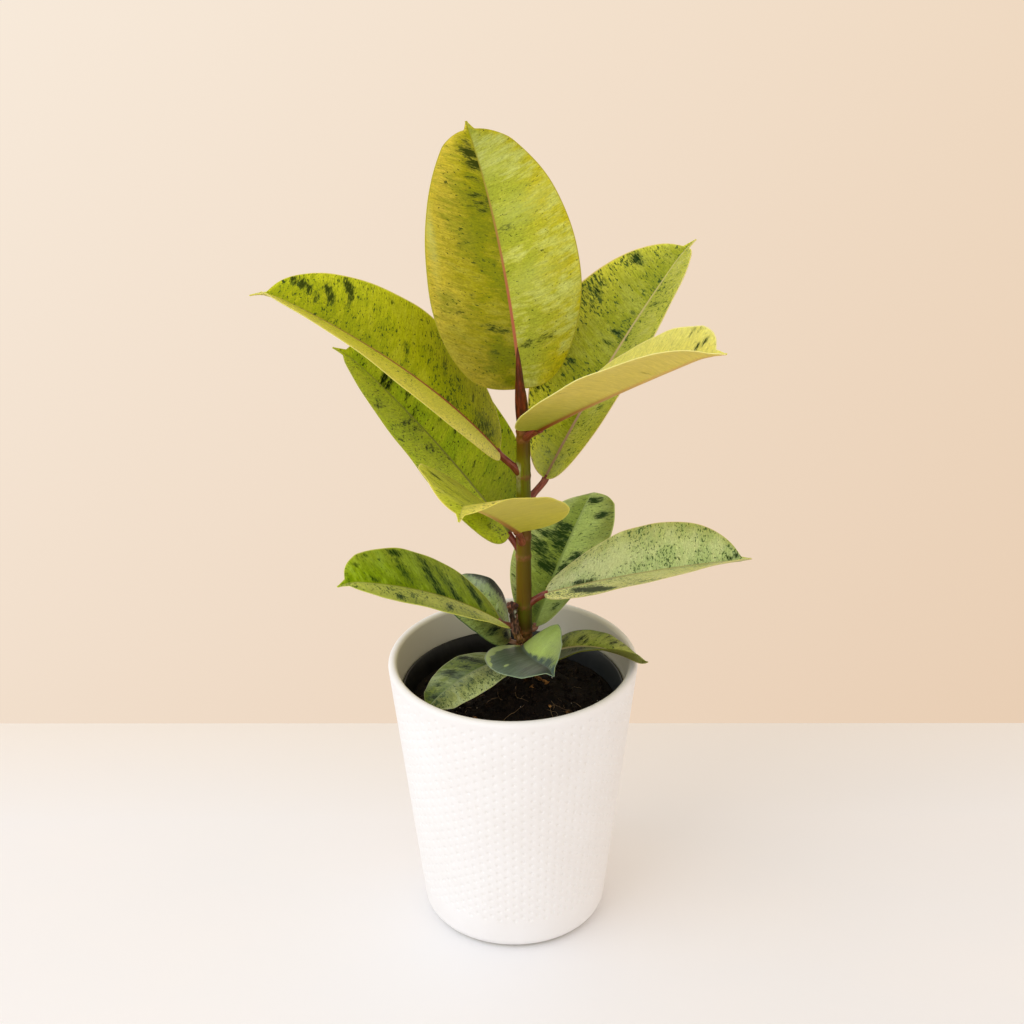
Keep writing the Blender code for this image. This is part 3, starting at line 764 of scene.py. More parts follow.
def stemMaterial():
    # half-ripened stem: olive green under a thin brown cork, with a satin waxy look, upright
    # fissures, pale breathing pores, a rusty scar at each leaf, dark red new wood on top, and
    # painted light that makes the left side paler and the right side darker
    material, tree, shader = newMaterial("half-ripened fig stem")
    place = addNode(tree, "TexCoord").outputs["Object"]
    z = addNode(tree, "SeparateXYZ", {0: place}).outputs["Z"]
    low, high = stem["toneReach"]
    height = addNode(tree, "MapRange", {"Value": z, "From Min": low * mm, "From Max": high * mm})
    cloud = addNode(tree, "TexNoise", {"Vector": place, "Scale": 90, "Detail": 3})
    shifted = addNode(tree, "MapRange", {"Value": cloud, "To Min": -0.02, "To Max": 0.02})
    level = addNode(tree, "Math", {0: height, 1: shifted}, operation="ADD")
    tone = addNode(tree, "ValToRGB", {"Fac": level}, stops=stem["tones"])
    upright = addNode(tree, "VectorMath", {0: place, 1: (1, 1, 0.10)}, operation="MULTIPLY")
    # the cork's fissures are 0.4 mm apart, drawn at about 0.8 mm so that they show
    fissures = addNode(tree, "TexNoise", {"Vector": upright, "Scale": 1200, "Detail": 3})
    corky = addNode(
        tree, "MapRange", {"Value": fissures, "From Min": 0.5, "From Max": 0.66, "To Max": 0.5},
    )
    pores = addNode(tree, "TexVoronoi", {"Vector": upright, "Scale": 330})
    pore = addNode(tree, "MapRange", {"Value": pores, "From Min": 0.16, "From Max": 0.09})
    chance = addNode(tree, "SeparateXYZ", {0: pores.outputs["Color"]})
    rare = addNode(tree, "Math", {0: chance, 1: 0.8}, operation="GREATER_THAN")
    porous = addNode(tree, "Math", {0: pore, 1: rare}, operation="MULTIPLY")
    _, scarred, healed, lit = readValues(tree, "stemMarksAndLight")
    colour = tone
    for share, coat in ((corky, "cork"), (porous, "lenticel"), (scarred, "scar"), (healed, "callus")):
        colour = addNode(tree, "Mix", {0: share, 6: colour, 7: stem[coat]}, data_type="RGBA")
    # painted light: the colour is multiplied by lit, brighter on the left and darker on the right
    paintedLight = addNode(tree, "VectorMath", {0: colour, 1: lit}, operation="MULTIPLY")
    relief = addNode(tree, "Math", {0: fissures, 1: porous}, operation="ADD")
    bump = addNode(tree, "Bump", {"Height": relief, "Strength": 0.35, "Distance": 0.12 * mm})
    setInputs(shader, {
        "Base Color": paintedLight, "Normal": bump, "Roughness": 0.5, "Specular IOR Level": 0.25,
    })
    return material


def makeStem():
    # heights are denser round each scar
    top = stem["top"]
    heights = set(np.linspace(stem["foot"], top - 0.6, 180))
    for node in stem["nodes"]:
        heights.update(node + offset for offset in (-2.2, -1.2, -0.5, 0, 0.5, 1.2, 2.2))
    spaced = []
    for height in sorted(heights):
        if height < top - 0.5 and (not spaced or height - spaced[-1] > 0.3):
            spaced.append(height)
    path, radii, scars = [], [], []
    # the tip is closed by two smaller rings
    for height, drawnIn in [(height, 0) for height in spaced] + [(top - 0.25, 0.35), (top, 1.1)]:
        sway = noise.noise(Vector((0, 3.3, height / 38))) * 0.35
        path.append(((stemPlace[0] + sway) * mm, (stemPlace[1] + sway * 0.4) * mm, height * mm))
        radii.append((stemRadius(height) - drawnIn) * mm)
        near = min(abs(height - node) for node in stem["nodes"])
        scars.append((1 - eased(near, 0.5, 2.4), height))

    def uneven(index, angle):
        spot = Vector((math.cos(angle), math.sin(angle), scars[index][1] / 9))
        return 1 + 0.035 * noise.noise(spot * 1.7)

    points, faces = tubeAlong(path, radii, stem["sides"], squeeze=uneven)
    piece = newPiece("stem_bark", points, faces, stemMaterial(), "stem")
    marks = []
    for index, point in enumerate(points):
        scar, height = scars[index // stem["sides"]]
        patchy = 0.5 + noise.noise(point * 900) * 0.9
        # the healed edge at the left of the third leaf's foot
        side = point.x / mm < stemPlace[0] - 1.5 and point.y / mm < stemPlace[1]
        callus = 1 - eased(abs(height - stem["callusHeight"]), 1.2, 4.0) if side else 0
        pale = 0.45 * (1 - eased(abs(height - stem["paleHeight"]), 5, 10)) if side else 0
        # painted light: the skin is painted paler on the left, toward the lamp, and darker on the right
        lit = 1 - 0.45 * clamp((point.x / mm - stemPlace[0]) / 4, -1, 1)
        marks.append((clamp(scar * patchy * 1.2), clamp(max(callus, pale) * (patchy + 0.3)), lit))
    addValues(piece, "stemMarksAndLight", marks)
    return piece


# Bud sheath: the rolled papery scale that wraps the next leaf.
bud = dict(
    foot=304.3, length=43, radius=3.4, lean=2.4, front=1.4, sides=28, rings=60, twist=0.7,
    colours=("#3C0E0A", "#5E1A10", "#82321C"), grain=1.6,
)


def sheathMaterial():
    # dry papery scale: dark red with a satin skin, streaked along its length and paler on
    # its ridges
    material, tree, shader = newMaterial("papery stipule sheath")
    place = addNode(tree, "TexCoord").outputs["Object"]
    upright = addNode(tree, "VectorMath", {0: place, 1: (1, 1, 0.3)}, operation="MULTIPLY")
    scale = 1 / (bud["grain"] * mm)
    streaks = addNode(tree, "TexNoise", {"Vector": upright, "Scale": scale, "Detail": 4})
    tone = addNode(
        tree, "ValToRGB", {"Fac": streaks}, stops=list(zip((0.36, 0.52, 0.68), bud["colours"])),
    )
    bump = addNode(tree, "Bump", {"Height": streaks, "Strength": 0.25, "Distance": 0.35 * mm})
    setInputs(shader, {"Base Color": tone, "Normal": bump, "Roughness": 0.38})
    return material


def makeBud():
    # a rolled sheath: one edge of the scale winds slowly round it
    path, radii = [], []
    for step in range(bud["rings"] + 1):
        share = step / bud["rings"]
        x, y = stemPlace[0] - 0.3 - bud["lean"] * share, stemPlace[1] - bud["front"]
        path.append((x * mm, y * mm, (bud["foot"] + bud["length"] * share) * mm))
        swell = 0.94 + 0.10 * math.sin(math.pi * min(1, share / 0.55))
        taper = (1 - share ** 1.7) ** 0.9
        radii.append(bud["radius"] * mm * max(0.05, swell * (0.08 + 0.92 * taper)))

    def rolled(index, angle):
        edge = (angle / (2 * math.pi) - index / bud["rings"] * bud["twist"]) % 1
        return 1.04 - 0.10 * edge ** 3

    points, faces = tubeAlong(path, radii, bud["sides"], squeeze=rolled)
    return newPiece("bud_rolled_sheath", points, faces, sheathMaterial(), "bud_sheath")


# Dried shoot: a side shoot that died back and shrivelled. Its tones are dark, middle and pale.
shoot = dict(
    foot=171, top=197, reach=9.0, heading=231, radius=2.1, sides=32, rings=96,
    bark=("#1E0E07", "#43271A", "#8A5F4A"), bareWood=("#6A4A1E", "#A5723F", "#C79A80"),
    scales=("#2A0F08", "#5A2C1C", "#B57A62"), paleScale="#C9CDBB",
    bareHeights=(174, 181), scalyHeights=(192, 195), paleHeight=190.5,
)


def shootMaterial():
    # dead side shoot: shrivelled dark brown bark, tan and pink bare wood low down, reddish
    # curled scales on top, and one pale scale
    material, tree, shader = newMaterial("shrivelled dead fig shoot")
    place = addNode(tree, "TexCoord").outputs["Object"]
    upright = addNode(tree, "VectorMath", {0: place, 1: (1, 1, 0.3)}, operation="MULTIPLY")
    streaks = addNode(tree, "TexNoise", {"Vector": upright, "Scale": 620, "Detail": 4})
    bark, bareWood, scales = (
        addNode(tree, "ValToRGB", {"Fac": streaks}, stops=list(zip((0.38, 0.52, 0.66), shoot[part])))
        for part in ("bark", "bareWood", "scales")
    )
    _, low, fleck, high = readValues(tree, "shootMarks")
    colour = bark
    for share, coat in ((low, bareWood), (high, scales), (fleck, shoot["paleScale"])):
        colour = addNode(tree, "Mix", {0: share, 6: colour, 7: coat}, data_type="RGBA")
    bump = addNode(tree, "Bump", {"Height": streaks, "Strength": 0.7, "Distance": 0.35 * mm})
    setInputs(shader, {"Base Color": colour, "Normal": bump, "Roughness": 0.75})
    return material


def makeShoot():
    foot, top, heading = shoot["foot"], shoot["top"], shoot["heading"]
    route = (
        (0.30, heading + 14, foot), (0.78, heading + 5, foot + 5), (0.95, heading, (foot + top) / 2 + 1),
        (1.0, heading - 8, top - 6), (0.97, heading - 14, top),
    )
    knots = []
    for reach, turned, height in route:
        offset = shoot["reach"] * reach * direction(turned, 0)
        knots.append(((stemPlace[0] + offset[0]) * mm, (stemPlace[1] + offset[1]) * mm, height * mm))
    path = smoothPath(knots, shoot["rings"])
    radii = []
    for index in range(shoot["rings"]):
        share = index / (shoot["rings"] - 1)
        knobs = 0.98 + 0.12 * math.sin(share * 31) * math.sin(share * 13 + 1)
        knobs += 0.45 * eased(share, 0.72, 0.90)
        closing = 1 - eased(share, 0.94, 1.0) * 0.75
        radii.append(shoot["radius"] * mm * knobs * closing)

    def shrivelled(index, angle):
        # deep lengthwise wrinkles that wander round the shoot
        wander = index / shoot["rings"] * 5
        wrinkle = math.sin(angle * 3 + wander) * 0.17 + math.sin(angle * 7 - wander * 2) * 0.10
        spot = Vector((math.cos(angle) * 1.4, math.sin(angle) * 1.4, index / 6))
        return 1 + wrinkle + 0.22 * noise.noise(spot)

    points, faces = tubeAlong(path, radii, shoot["sides"], squeeze=shrivelled)
    piece = newPiece("shoot_shrivelled", points, faces, shootMaterial(), "dried_shoot")
    marks = []
    for index, point in enumerate(points):
        ring, step = divmod(index, shoot["sides"])
        height = point.z / mm
        patchy = 0.35 * noise.noise(point * 500)
        # one pale scale, on the side toward the front
        angle = 2 * math.pi * step / shoot["sides"]
        facing = max(0, path[ring][1] - point.y) / mm
        fleck = eased(facing, 0.9, 1.8) * (1 - eased(abs(height - shoot["paleHeight"]), 1.6, 2.8))
        fleck *= 1 - eased(abs(math.sin(angle / 2 + 0.4)), 0.35, 0.6)
        low = 1 - eased(height, *shoot["bareHeights"]) + patchy
        high = eased(height, *shoot["scalyHeights"]) + patchy
        marks.append((clamp(low), clamp(fleck), clamp(high)))
    addValues(piece, "shootMarks", marks)
    return piece


makeStem()
makeBud()
makeShoot()
print("stem, bud and dried shoot made")


# Leaves, from the top of the plant down. Lengths are in millimetres and angles in degrees.
# A pair is for the halves to the left and right of the midrib as seen from above, and rise,
# roll, fold, rib, keel and below are for the foot and the tip. shadeLeft and shadeRight are
# how bright a half is at its foot and its tip, against its middle: partly the leaf's own tone
# and partly painted shade and light. A half's colours likewise hold painted light and shade
# as well as the leaf's own colour.
# A mark is a dark patch: its place as shares of the length and of the half width, its size
# along the midrib and along the veins, and its strength. A bloom is a pale patch, partly waxy
# bloom and partly painted sheen where light glances off the wax, given in the same way.
# drip is the drip tip's share of the length and dripHalf half its width at its root. tipLeft
# folds the left half's tip further, and lobes is how far the blade reaches back at its foot.
usualLeaf = dict(
    lobes=2, drip=0.05, dripHalf=3.0, tipLeft=0, softBloomSheen=True, hairs=0.7, bloomsAndSheen=(),
    shadeLeft=(1.0, 1.0), shadeRight=(1.0, 1.0),
)
leaves = {
    "leaf_01": dict(
        node=298, heading=102.2, stalkRise=78, stalk=27.5, turn=1.4, length=151.4, width=89,
        widest=0.38, rise=(64.3, 35.4), sweep=6.5, tipDrop=-3.5, roll=(-15.8, 5), fold=(-8.7, 28.7),
        curl=(-10.5, -11.3), lobes=4, drip=0.04,
        shadeLeft=(0.72, 1.23), shadeRight=(0.91, 0.75), hairs=0.45, ground=("#A39D02", "#B8BB3F"),
        outer=("#C6B63E", "#C0B612"), deep=("#6B7E02", "#92A225"), deepShare=(0.55, 0.45),
        pale="#CBD383", paleShare=(0.1, 0.6), shine=0.16, specks=(0.5, 0.4), speck="#344510",
        mark="#374109", rib=("#B9704C", "#A3A03A"), keel=("#7A2E1C", "#B29A58"),
        below=("#B0AE4C", "#BFAE56"), margin="#A39A30",
        marks=((0.86, 0.2, 3.2, 6.5, 0.9), (0.81, 0.11, 3.4, 6, 0.95), (0.905, 0.28, 4, 5, 0.4),
               (0.75, 0.19, 1.3, 6, 0.65), (0.68, 0.14, 1.6, 9, 0.62), (0.65, 0.12, 1.5, 8, 0.62),
               (0.63, 0.2, 1.2, 7, 0.6), (0.19, 0.23, 2.4, 9, 0.5), (0.11, 0.35, 1.5, 3, 0.6),
               (0.13, -0.18, 1.8, 5, 0.55), (0.5, 0.55, 1.4, 3, 0.55), (0.26, 0.67, 1.5, 3, 0.55),
               (0.31, 0.47, 1.4, 3, 0.5), (0.15, -0.5, 3, 8, 0.4), (0.55, -0.12, 3, 5, 0.42)),
        bloomsAndSheen=((0.58, 0.97, 26, 2.4, 0.8), (0.62, -0.45, 8, 16, 0.55), (0.36, -0.35, 7, 16, 0.5),
                (0.8, -0.2, 8, 8, 0.4)),
    ),
    "leaf_02": dict(
        node=294, heading=309.2, stalkRise=38.8, stalk=17.8, turn=-13, length=176, width=66.4,
        widest=0.48, rise=(33.4, 32.3), sweep=15.8, tipDrop=16, roll=(-9.8, 1.8), fold=(23.8, 40),
        curl=(5, -25),
        shadeLeft=(1.0, 1.07), ground=("#CEC55F", "#BFC048"), outer=("#D3CD6D", "#C8C84C"),
        deep=("#B4B352", "#A9B23C"), deepShare=(0.3, 0.3), pale="#D8D67A", paleShare=(0.4, 0.4),
        shine=0.16, specks=(0.16, 0.16), speck="#425319", mark="#1D2D0D", rib=("#C79A62", "#D6CC74"),
        keel=("#8A3A20", "#C8A45E"), below=("#A6A83E", "#CEBC5B"), margin="#E4DA92",
        marks=((0.86, 0.41, 2.2, 3, 0.65), (0.89, 0.57, 2, 3, 0.65), (0.8, 0.9, 1.4, 4, 0.7),
               (0.84, 0.95, 1.2, 3, 0.7), (0.47, -0.88, 1.6, 3, 1.0), (0.7, -0.22, 1.6, 5, 0.9)),
    ),
    "leaf_03": dict(
        node=272, heading=190.3, stalkRise=50, stalk=22.1, turn=-2, length=163.5, width=83,
        widest=0.453, rise=(52.6, 11.1), sweep=-38.2, tipDrop=31, roll=(11.8, -6), fold=(10.5, 32.4),
        curl=(-1.4, 0.8), drip=0.065, dripHalf=1.8, tipLeft=-5,
        shadeLeft=(1.06, 1.0), shadeRight=(1.01, 1.09), ground=("#C2C139", "#A8AC06"),
        outer=("#D1CB51", "#B9BE1D"), deep=("#ACB32B", "#869403"), deepShare=(0.3, 0.6), pale="#B4B83A",
        paleShare=(0.3, 0.3), shine=0.13, specks=(0.8, 1.0), speck="#324910", mark="#39440B",
        rib=("#9A5238", "#A8A048"), keel=("#8A3A24", "#BCAC58"), below=("#B0AC4A", "#BDB458"),
        margin="#CEC56C",
        marks=((0.88, -0.75, 2.0, 3, 0.85), (0.85, -0.62, 2.0, 3.2, 0.95), (0.82, -0.5, 1.6, 3.4, 0.9),
               (0.785, -0.38, 1.4, 3.6, 0.8), (0.77, -0.62, 2.2, 3, 0.95),
               (0.745, -0.48, 1.8, 3.6, 0.9), (0.725, -0.38, 1.2, 3, 0.65), (0.73, -0.86, 2, 3, 0.85),
               (0.71, -0.76, 2.4, 3.6, 1.0), (0.69, -0.62, 1.5, 4.2, 0.85),
               (0.68, -0.45, 1.2, 2.6, 0.7), (0.08, -0.22, 9, 9, 0.55), (0.21, -0.1, 6, 5, 0.4),
               (0.3, -0.51, 2, 8, 0.5), (0.43, -0.22, 1.3, 5, 0.65), (0.45, -0.34, 1.1, 3, 0.65),
               (0.16, -0.5, 1.5, 4, 0.5), (0.57, -0.85, 1.4, 1.8, 0.65), (0.57, -0.1, 1.3, 3, 0.5)),
    ),
    "leaf_04": dict(
        node=253, heading=41, stalkRise=39, stalk=22, turn=0.5, length=154.3, width=81.2, widest=0.474,
        rise=(51.5, 43.6), sweep=-6.7, tipDrop=15, roll=(-31, 11.5), fold=(50, 5), curl=(27.3, 18),
        shadeLeft=(1.41, 0.99), shadeRight=(1.35, 1.02), ground=("#A0A523", "#AFB049"),
        outer=("#CECF47", "#BDBF4B"), deep=("#82901B", "#97A23C"), deepShare=(0.5, 0.4), pale="#C0C890",
        paleShare=(0.12, 0.2), shine=0.16, specks=(1.3, 1.0), speck="#34501D", mark="#1E3210",
        rib=("#C8A888", "#C4BE78"), keel=("#8A4630", "#B4A060"), below=("#A0A850", "#AEB05C"),
        margin="#D8C486",
        marks=((0.83, 0.78, 3, 5, 0.8), (0.65, 0.74, 2.3, 3, 0.8), (0.69, 0.78, 1.5, 2.2, 0.8),
               (0.6, 0.64, 1.6, 2.4, 0.75), (0.39, 0.46, 1.7, 4, 0.75), (0.52, 0.19, 1.2, 6, 0.65),
               (0.56, 0.13, 1.6, 4, 0.85), (0.65, 0.09, 1.4, 2.2, 0.65), (0.25, 0.86, 3.5, 3, 0.55),
               (0.71, -0.28, 1.6, 6, 0.65), (0.29, -0.49, 1.5, 4, 0.6)),
        bloomsAndSheen=((0.03, 0.25, 12, 12, 1.0), (0.05, -0.3, 8, 8, 0.7)),
    ),
    "leaf_05": dict(
        node=230, heading=250.2, stalkRise=52.3, stalk=17.3, turn=1.4, length=141, width=80.6,
        widest=0.47, rise=(36.5, 27), sweep=9.6, tipDrop=51.5, roll=(7, 7.6), fold=(21.2, 19.6),
        curl=(0.8, 7.6), drip=0.03, dripHalf=2.4,
        shadeRight=(1.0, 0.92), ground=("#C6C051", "#B6C02D"), outer=("#D4C564", "#CAD04B"),
        deep=("#A7AB43", "#9EAD23"), deepShare=(0.4, 0.4), pale="#BCC04A", paleShare=(0.2, 0.2),
        shine=0.14, specks=(0.8, 1.3), speck="#344911", mark="#2A3A0B", rib=("#A8703C", "#B4B44C"),
        keel=("#94532E", "#BFA452"), below=("#CABF48", "#BEB14D"), margin="#CEC462",
        marks=((0.58, -0.75, 5, 4, 0.9), (0.36, -0.75, 3, 3, 0.5)),
    ),
    "leaf_06": dict(
        node=223, heading=172, stalkRise=59.5, stalk=16.8, turn=-8.4, length=139.8, width=98.7,
        widest=0.438, rise=(53.6, 42.3), sweep=8, tipDrop=17.4, roll=(5.2, 8.3), fold=(11, 15.2),
        curl=(3.6, 10.2),
        shadeLeft=(1.16, 1.12), shadeRight=(0.51, 0.97), ground=("#C4D231", "#C8D62E"),
        outer=("#C3D634", "#AAB811"), deep=("#99B325", "#97B724"), deepShare=(0.5, 0.55),
        pale="#A2B44C", paleShare=(0.3, 0.3), shine=0.13, specks=(0.95, 0.8), speck="#2A4510",
        mark="#122709", rib=("#9AA04E", "#A8B05C"), keel=("#8A4630", "#A89C50"),
        below=("#98A048", "#A0A850"), margin="#A8AC50",
        marks=((0.6, 0.24, 1.5, 13, 0.72), (0.56, 0.2, 1.2, 10, 0.62), (0.48, 0.27, 1.3, 7, 0.6),
               (0.45, 0.2, 1.2, 7, 0.6), (0.74, 0.72, 1.3, 7, 0.75), (0.75, 0.58, 1.0, 5, 0.6),
               (0.77, -0.15, 1.8, 6, 0.85), (0.74, -0.13, 1.6, 5, 0.8), (0.66, -0.2, 1.2, 5, 0.7),
               (0.54, 0.1, 1.4, 5, 0.6), (0.6, -0.09, 1.2, 4, 0.65), (0.5, -0.29, 1.2, 4, 0.6),
               (0.43, -0.35, 1.2, 4, 0.6), (0.36, -0.06, 1.2, 3, 0.55), (0.28, -0.2, 1.2, 4, 0.55),
               (0.09, 0.53, 1.8, 3, 0.5)),
    ),
    "leaf_07": dict(
        node=192, heading=355.3, stalkRise=32, stalk=16, turn=2, length=117.6, width=77.6, widest=0.484,
        rise=(16.7, -6.8), sweep=23.4, tipDrop=-1.5, roll=(8, 0.3), fold=(5, 30.6), curl=(-2, 2),
        dripHalf=2.2,
        shadeLeft=(0.93, 0.98), shadeRight=(1.42, 1.0), ground=("#C2D297", "#C1C881"),
        outer=("#AFB66A", "#D0D086"), deep=("#9FB875", "#A1B167"), deepShare=(0.55, 0.4),
        pale="#C6CE98", paleShare=(0.5, 0.4), shine=0.22, specks=(1.28, 1.28), speck="#43602C",
        mark="#1E3314", rib=("#A6A468", "#B4AE78"), keel=("#8A4A38", "#B0A068"),
        below=("#A8AC68", "#A8AC68"), margin="#C0B880",
        marks=((0.21, -0.55, 5, 9, 1.3), (0.26, -0.75, 4, 7, 1.2), (0.15, -0.4, 4, 7, 1.0),
               (0.15, 0.07, 4, 3, 0.95), (0.2, 0.05, 4, 2.4, 0.9), (0.93, 0.29, 1.6, 1.8, 0.85),
               (0.89, 0.1, 2.4, 1.4, 0.65), (0.76, 0.3, 1.4, 2.2, 0.6), (0.5, 0.28, 1, 3, 0.55),
               (0.58, -0.2, 3, 4, 0.4)),
        bloomsAndSheen=((0.33, 0.35, 14, 12, 0.75), (0.22, -0.35, 4, 2.4, 0.55)),
    ),
    "leaf_08": dict(
        node=176, heading=209, stalkRise=33.6, stalk=19.4, turn=7.4, length=114.5, width=59,
        widest=0.48, rise=(41.5, 16.7), sweep=-6.1, tipDrop=23.8, roll=(10.9, 10.6), fold=(15.8, 15.6),
        curl=(-9.6, 0.8),
        shadeLeft=(1.0, 1.04), shadeRight=(0.88, 1.23), hairs=1.0, ground=("#B5BC57", "#869E0C"),
        outer=("#849425", "#97A531"), deep=("#A0AE4B", "#6C8707"), deepShare=(0.3, 0.5), pale="#A4BC4A",
        paleShare=(0.3, 0.45), shine=0.07, specks=(1.25, 0.8), speck="#35520C", mark="#19340B",
        rib=("#8C9040", "#98A440"), keel=("#8A4A34", "#A89C58"), below=("#A0A454", "#A0A454"),
        margin="#B4B860",
        marks=((0.44, -0.7, 3.6, 9, 0.65), (0.43, -0.4, 4.6, 11, 0.72), (0.41, -0.12, 5, 7, 0.74),
               (0.34, -0.48, 3.4, 10, 0.6), (0.31, -0.28, 4, 9, 0.64), (0.29, -0.08, 4.4, 6, 0.7),
               (0.17, -0.72, 2.6, 8, 0.6), (0.14, -0.54, 4, 9, 0.74), (0.12, -0.34, 4, 7, 0.72),
               (0.49, 0.73, 2.4, 3, 0.95), (0.46, 0.6, 1.8, 2.4, 0.8), (0.75, 0.72, 2.4, 3.5, 0.85),
               (0.62, -0.87, 4, 2.5, 0.95), (0.79, -0.13, 3.5, 2.6, 0.5), (0.66, -0.1, 2, 2.2, 0.5),
               (0.6, -0.4, 3, 10, 0.6), (0.87, -0.67, 1.6, 2, 0.5), (0.8, -0.9, 2.4, 1.4, 0.6)),
    ),
    "leaf_09": dict(
        node=173, heading=58.8, stalkRise=5.4, stalk=12.5, turn=4.7, length=103.2, width=54,
        widest=0.449, rise=(39.9, 14.6), sweep=4.8, tipDrop=50.6, roll=(-7.5, 11.7), fold=(39.3, -15.9),
        curl=(1.7, 4.8),
        shadeLeft=(0.72, 0.79), shadeRight=(0.99, 0.91), ground=("#92A742", "#A4B766"),
        outer=("#B2C081", "#798535"), deep=("#6E8431", "#8CA556"), deepShare=(0.6, 0.35),
        pale="#A4BA70", paleShare=(0.2, 0.4), shine=0.13, specks=(0.8, 0.7), speck="#28401C",
        mark="#1F370F", rib=("#84984E", "#8EA05E"), keel=("#8A5A44", "#98A068"),
        below=("#8E9C5C", "#8E9C5C"), margin="#98A868",
        marks=((0.62, 0.2, 4.6, 6, 0.85), (0.56, 0.22, 4, 6, 0.85), (0.5, 0.18, 4.6, 6, 0.8),
               (0.34, 0.22, 4, 7, 0.85), (0.44, 0.5, 2.6, 9, 0.8), (0.48, 0.6, 2.2, 8, 0.72),
               (0.4, 0.45, 2.2, 8, 0.74), (0.54, 0.5, 2.4, 9, 0.76), (0.66, 0.5, 2.4, 8, 0.66),
               (0.3, -0.16, 4, 5, 0.95), (0.25, -0.1, 4, 3.4, 0.85), (0.42, -0.34, 2.6, 5, 0.9),
               (0.75, -0.61, 3.0, 4, 0.9), (0.86, -0.26, 3.2, 4, 0.85), (0.1, -0.6, 3, 4, 0.6),
               (0.36, -0.22, 3.2, 6, 0.8), (0.45, -0.3, 1.6, 3, 0.7), (0.08, 0.14, 4, 2.5, 0.6)),
        bloomsAndSheen=((0.08, 0.0, 10, 12, 0.5),),
    ),
    "leaf_10": dict(
        node=167, heading=260, stalkRise=21.9, stalk=8.5, turn=11.3, length=90.6, width=45.9,
        widest=0.424, rise=(23.4, 20.4), sweep=19, tipDrop=36.9, roll=(-18.5, -34.1), fold=(24.7, 14.9),
        curl=(-12, -5.4),
        softBloomSheen=False, shadeLeft=(1.0, 0.45), shadeRight=(1.6, 0.44), ground=("#ABC46C", "#4E6052"),
        outer=("#93AC58", "#5C7264"), deep=("#8FA556", "#39483B"), deepShare=(0.35, 0.8),
        pale="#A9BC7C", paleShare=(0.2, 0.1), shine=0.36, specks=(0.48, 0.48), speck="#4C5E50",
        mark="#40504A", rib=("#56685A", "#4A5A50"), keel=("#8A5A44", "#98A068"),
        below=("#8E9C6C", "#8E9C6C"), margin="#71846E",
        marks=((0.98, 0.3, 5, 6, 1.0), (0.86, 0.1, 6, 3.4, 1.0), (0.74, 0.04, 5, 2.6, 1.0),
               (0.6, 0.01, 6, 2.0, 1.0), (0.46, 0.01, 5, 1.2, 1.0)),
        bloomsAndSheen=((0.03, -0.4, 4, 4, 1.0), (0.08, -0.65, 5, 5, 1.0), (0.15, -0.85, 5, 5.5, 1.0),
                (0.24, -0.97, 6, 5, 1.0), (0.34, -1.0, 7, 3, 1.0), (0.44, -1.0, 6, 2.2, 1.0),
                (0.55, -0.67, 1.6, 1.6, 1.0)),
    ),
    "leaf_11": dict(
        node=165, heading=149, stalkRise=20.5, stalk=9.9, turn=10.8, length=55.6, width=50.4,
        widest=0.472, rise=(77.2, -20.9), sweep=-5.2, tipDrop=4, roll=(-8, 5.6), fold=(-6.5, 9),
        curl=(-16, -17.8),
        shadeLeft=(0.64, 1.0), ground=("#97A249", "#A3C268"), outer=("#B1C684", "#64834B"),
        deep=("#68783A", "#75944A"), deepShare=(0.6, 0.5), pale="#B4C8BC", paleShare=(0.1, 0.6),
        shine=0.28, specks=(0.64, 0.9), speck="#2A4426", mark="#0B2014", rib=("#7C8A60", "#8C9C74"),
        keel=("#8A5A44", "#8A9664"), below=("#7C8E60", "#7C8E60"), margin="#506850",
        marks=((0.21, 0.56, 2.4, 6, 0.7), (0.07, 0.24, 2.6, 3, 0.8), (0.5, -0.86, 12, 5.5, 1.1),
               (0.7, -0.9, 10, 4.5, 1.1), (0.34, -0.9, 8, 5.0, 1.1), (0.45, 0.3, 2, 8, 0.55)),
        bloomsAndSheen=((0.62, -0.45, 8, 6, 1.0),),
    ),
    "leaf_12": dict(
        node=160, heading=334.3, stalkRise=13.6, stalk=14.3, turn=2.4, length=62.2, width=40,
        widest=0.41, rise=(38, -31), sweep=5.7, tipDrop=-44.7, roll=(-18.2, 32.5), fold=(3.2, 20.5),
        curl=(-20.4, 7), drip=0.035,
        shadeLeft=(0.6, 1.0), ground=("#ABB452", "#495B08"), outer=("#7A8D1E", "#415109"),
        deep=("#798E39", "#415409"), deepShare=(0.6, 0.5), pale="#A0A85C", paleShare=(0.2, 0.2),
        shine=0.07, specks=(0.85, 1.0), speck="#233510", mark="#212E0C", rib=("#B4A878", "#A09C5C"),
        keel=("#8A5A44", "#948E54"), below=("#6C6C30", "#686B2C"), margin="#5E6428",
        marks=((0.36, -0.3, 6, 6, 0.6), (0.33, 0.38, 2.6, 5, 0.55), (0.16, 0.44, 2.6, 5.5, 0.5),
               (0.38, 0.26, 2, 4, 0.5), (0.63, 0.57, 1.6, 5, 0.65), (0.71, 0.66, 1.2, 4, 0.65),
               (0.47, 0.87, 1.2, 3, 0.55), (0.55, 0.75, 1.2, 4, 0.55), (0.97, 0.0, 2.6, 3, 0.9)),
    ),
    "leaf_13": dict(
        node=159, heading=218.4, stalkRise=8.3, stalk=10.4, turn=3.6, length=64, width=46, widest=0.464,
        rise=(18.7, -32.7), sweep=-2.2, tipDrop=-1, roll=(-8.9, -8), fold=(11.2, -7), curl=(-4, -12),
        shadeLeft=(1.0, 0.72), shadeRight=(1.0, 0.89), ground=("#92994D", "#788729"),
        outer=("#B7C381", "#687B31"), deep=("#707E40", "#4B621B"), deepShare=(0.7, 0.8), pale="#B0C0A0",
        paleShare=(0.6, 0.5), shine=0.15, specks=(1.3, 1.2), speck="#2A431C", mark="#0E1F07",
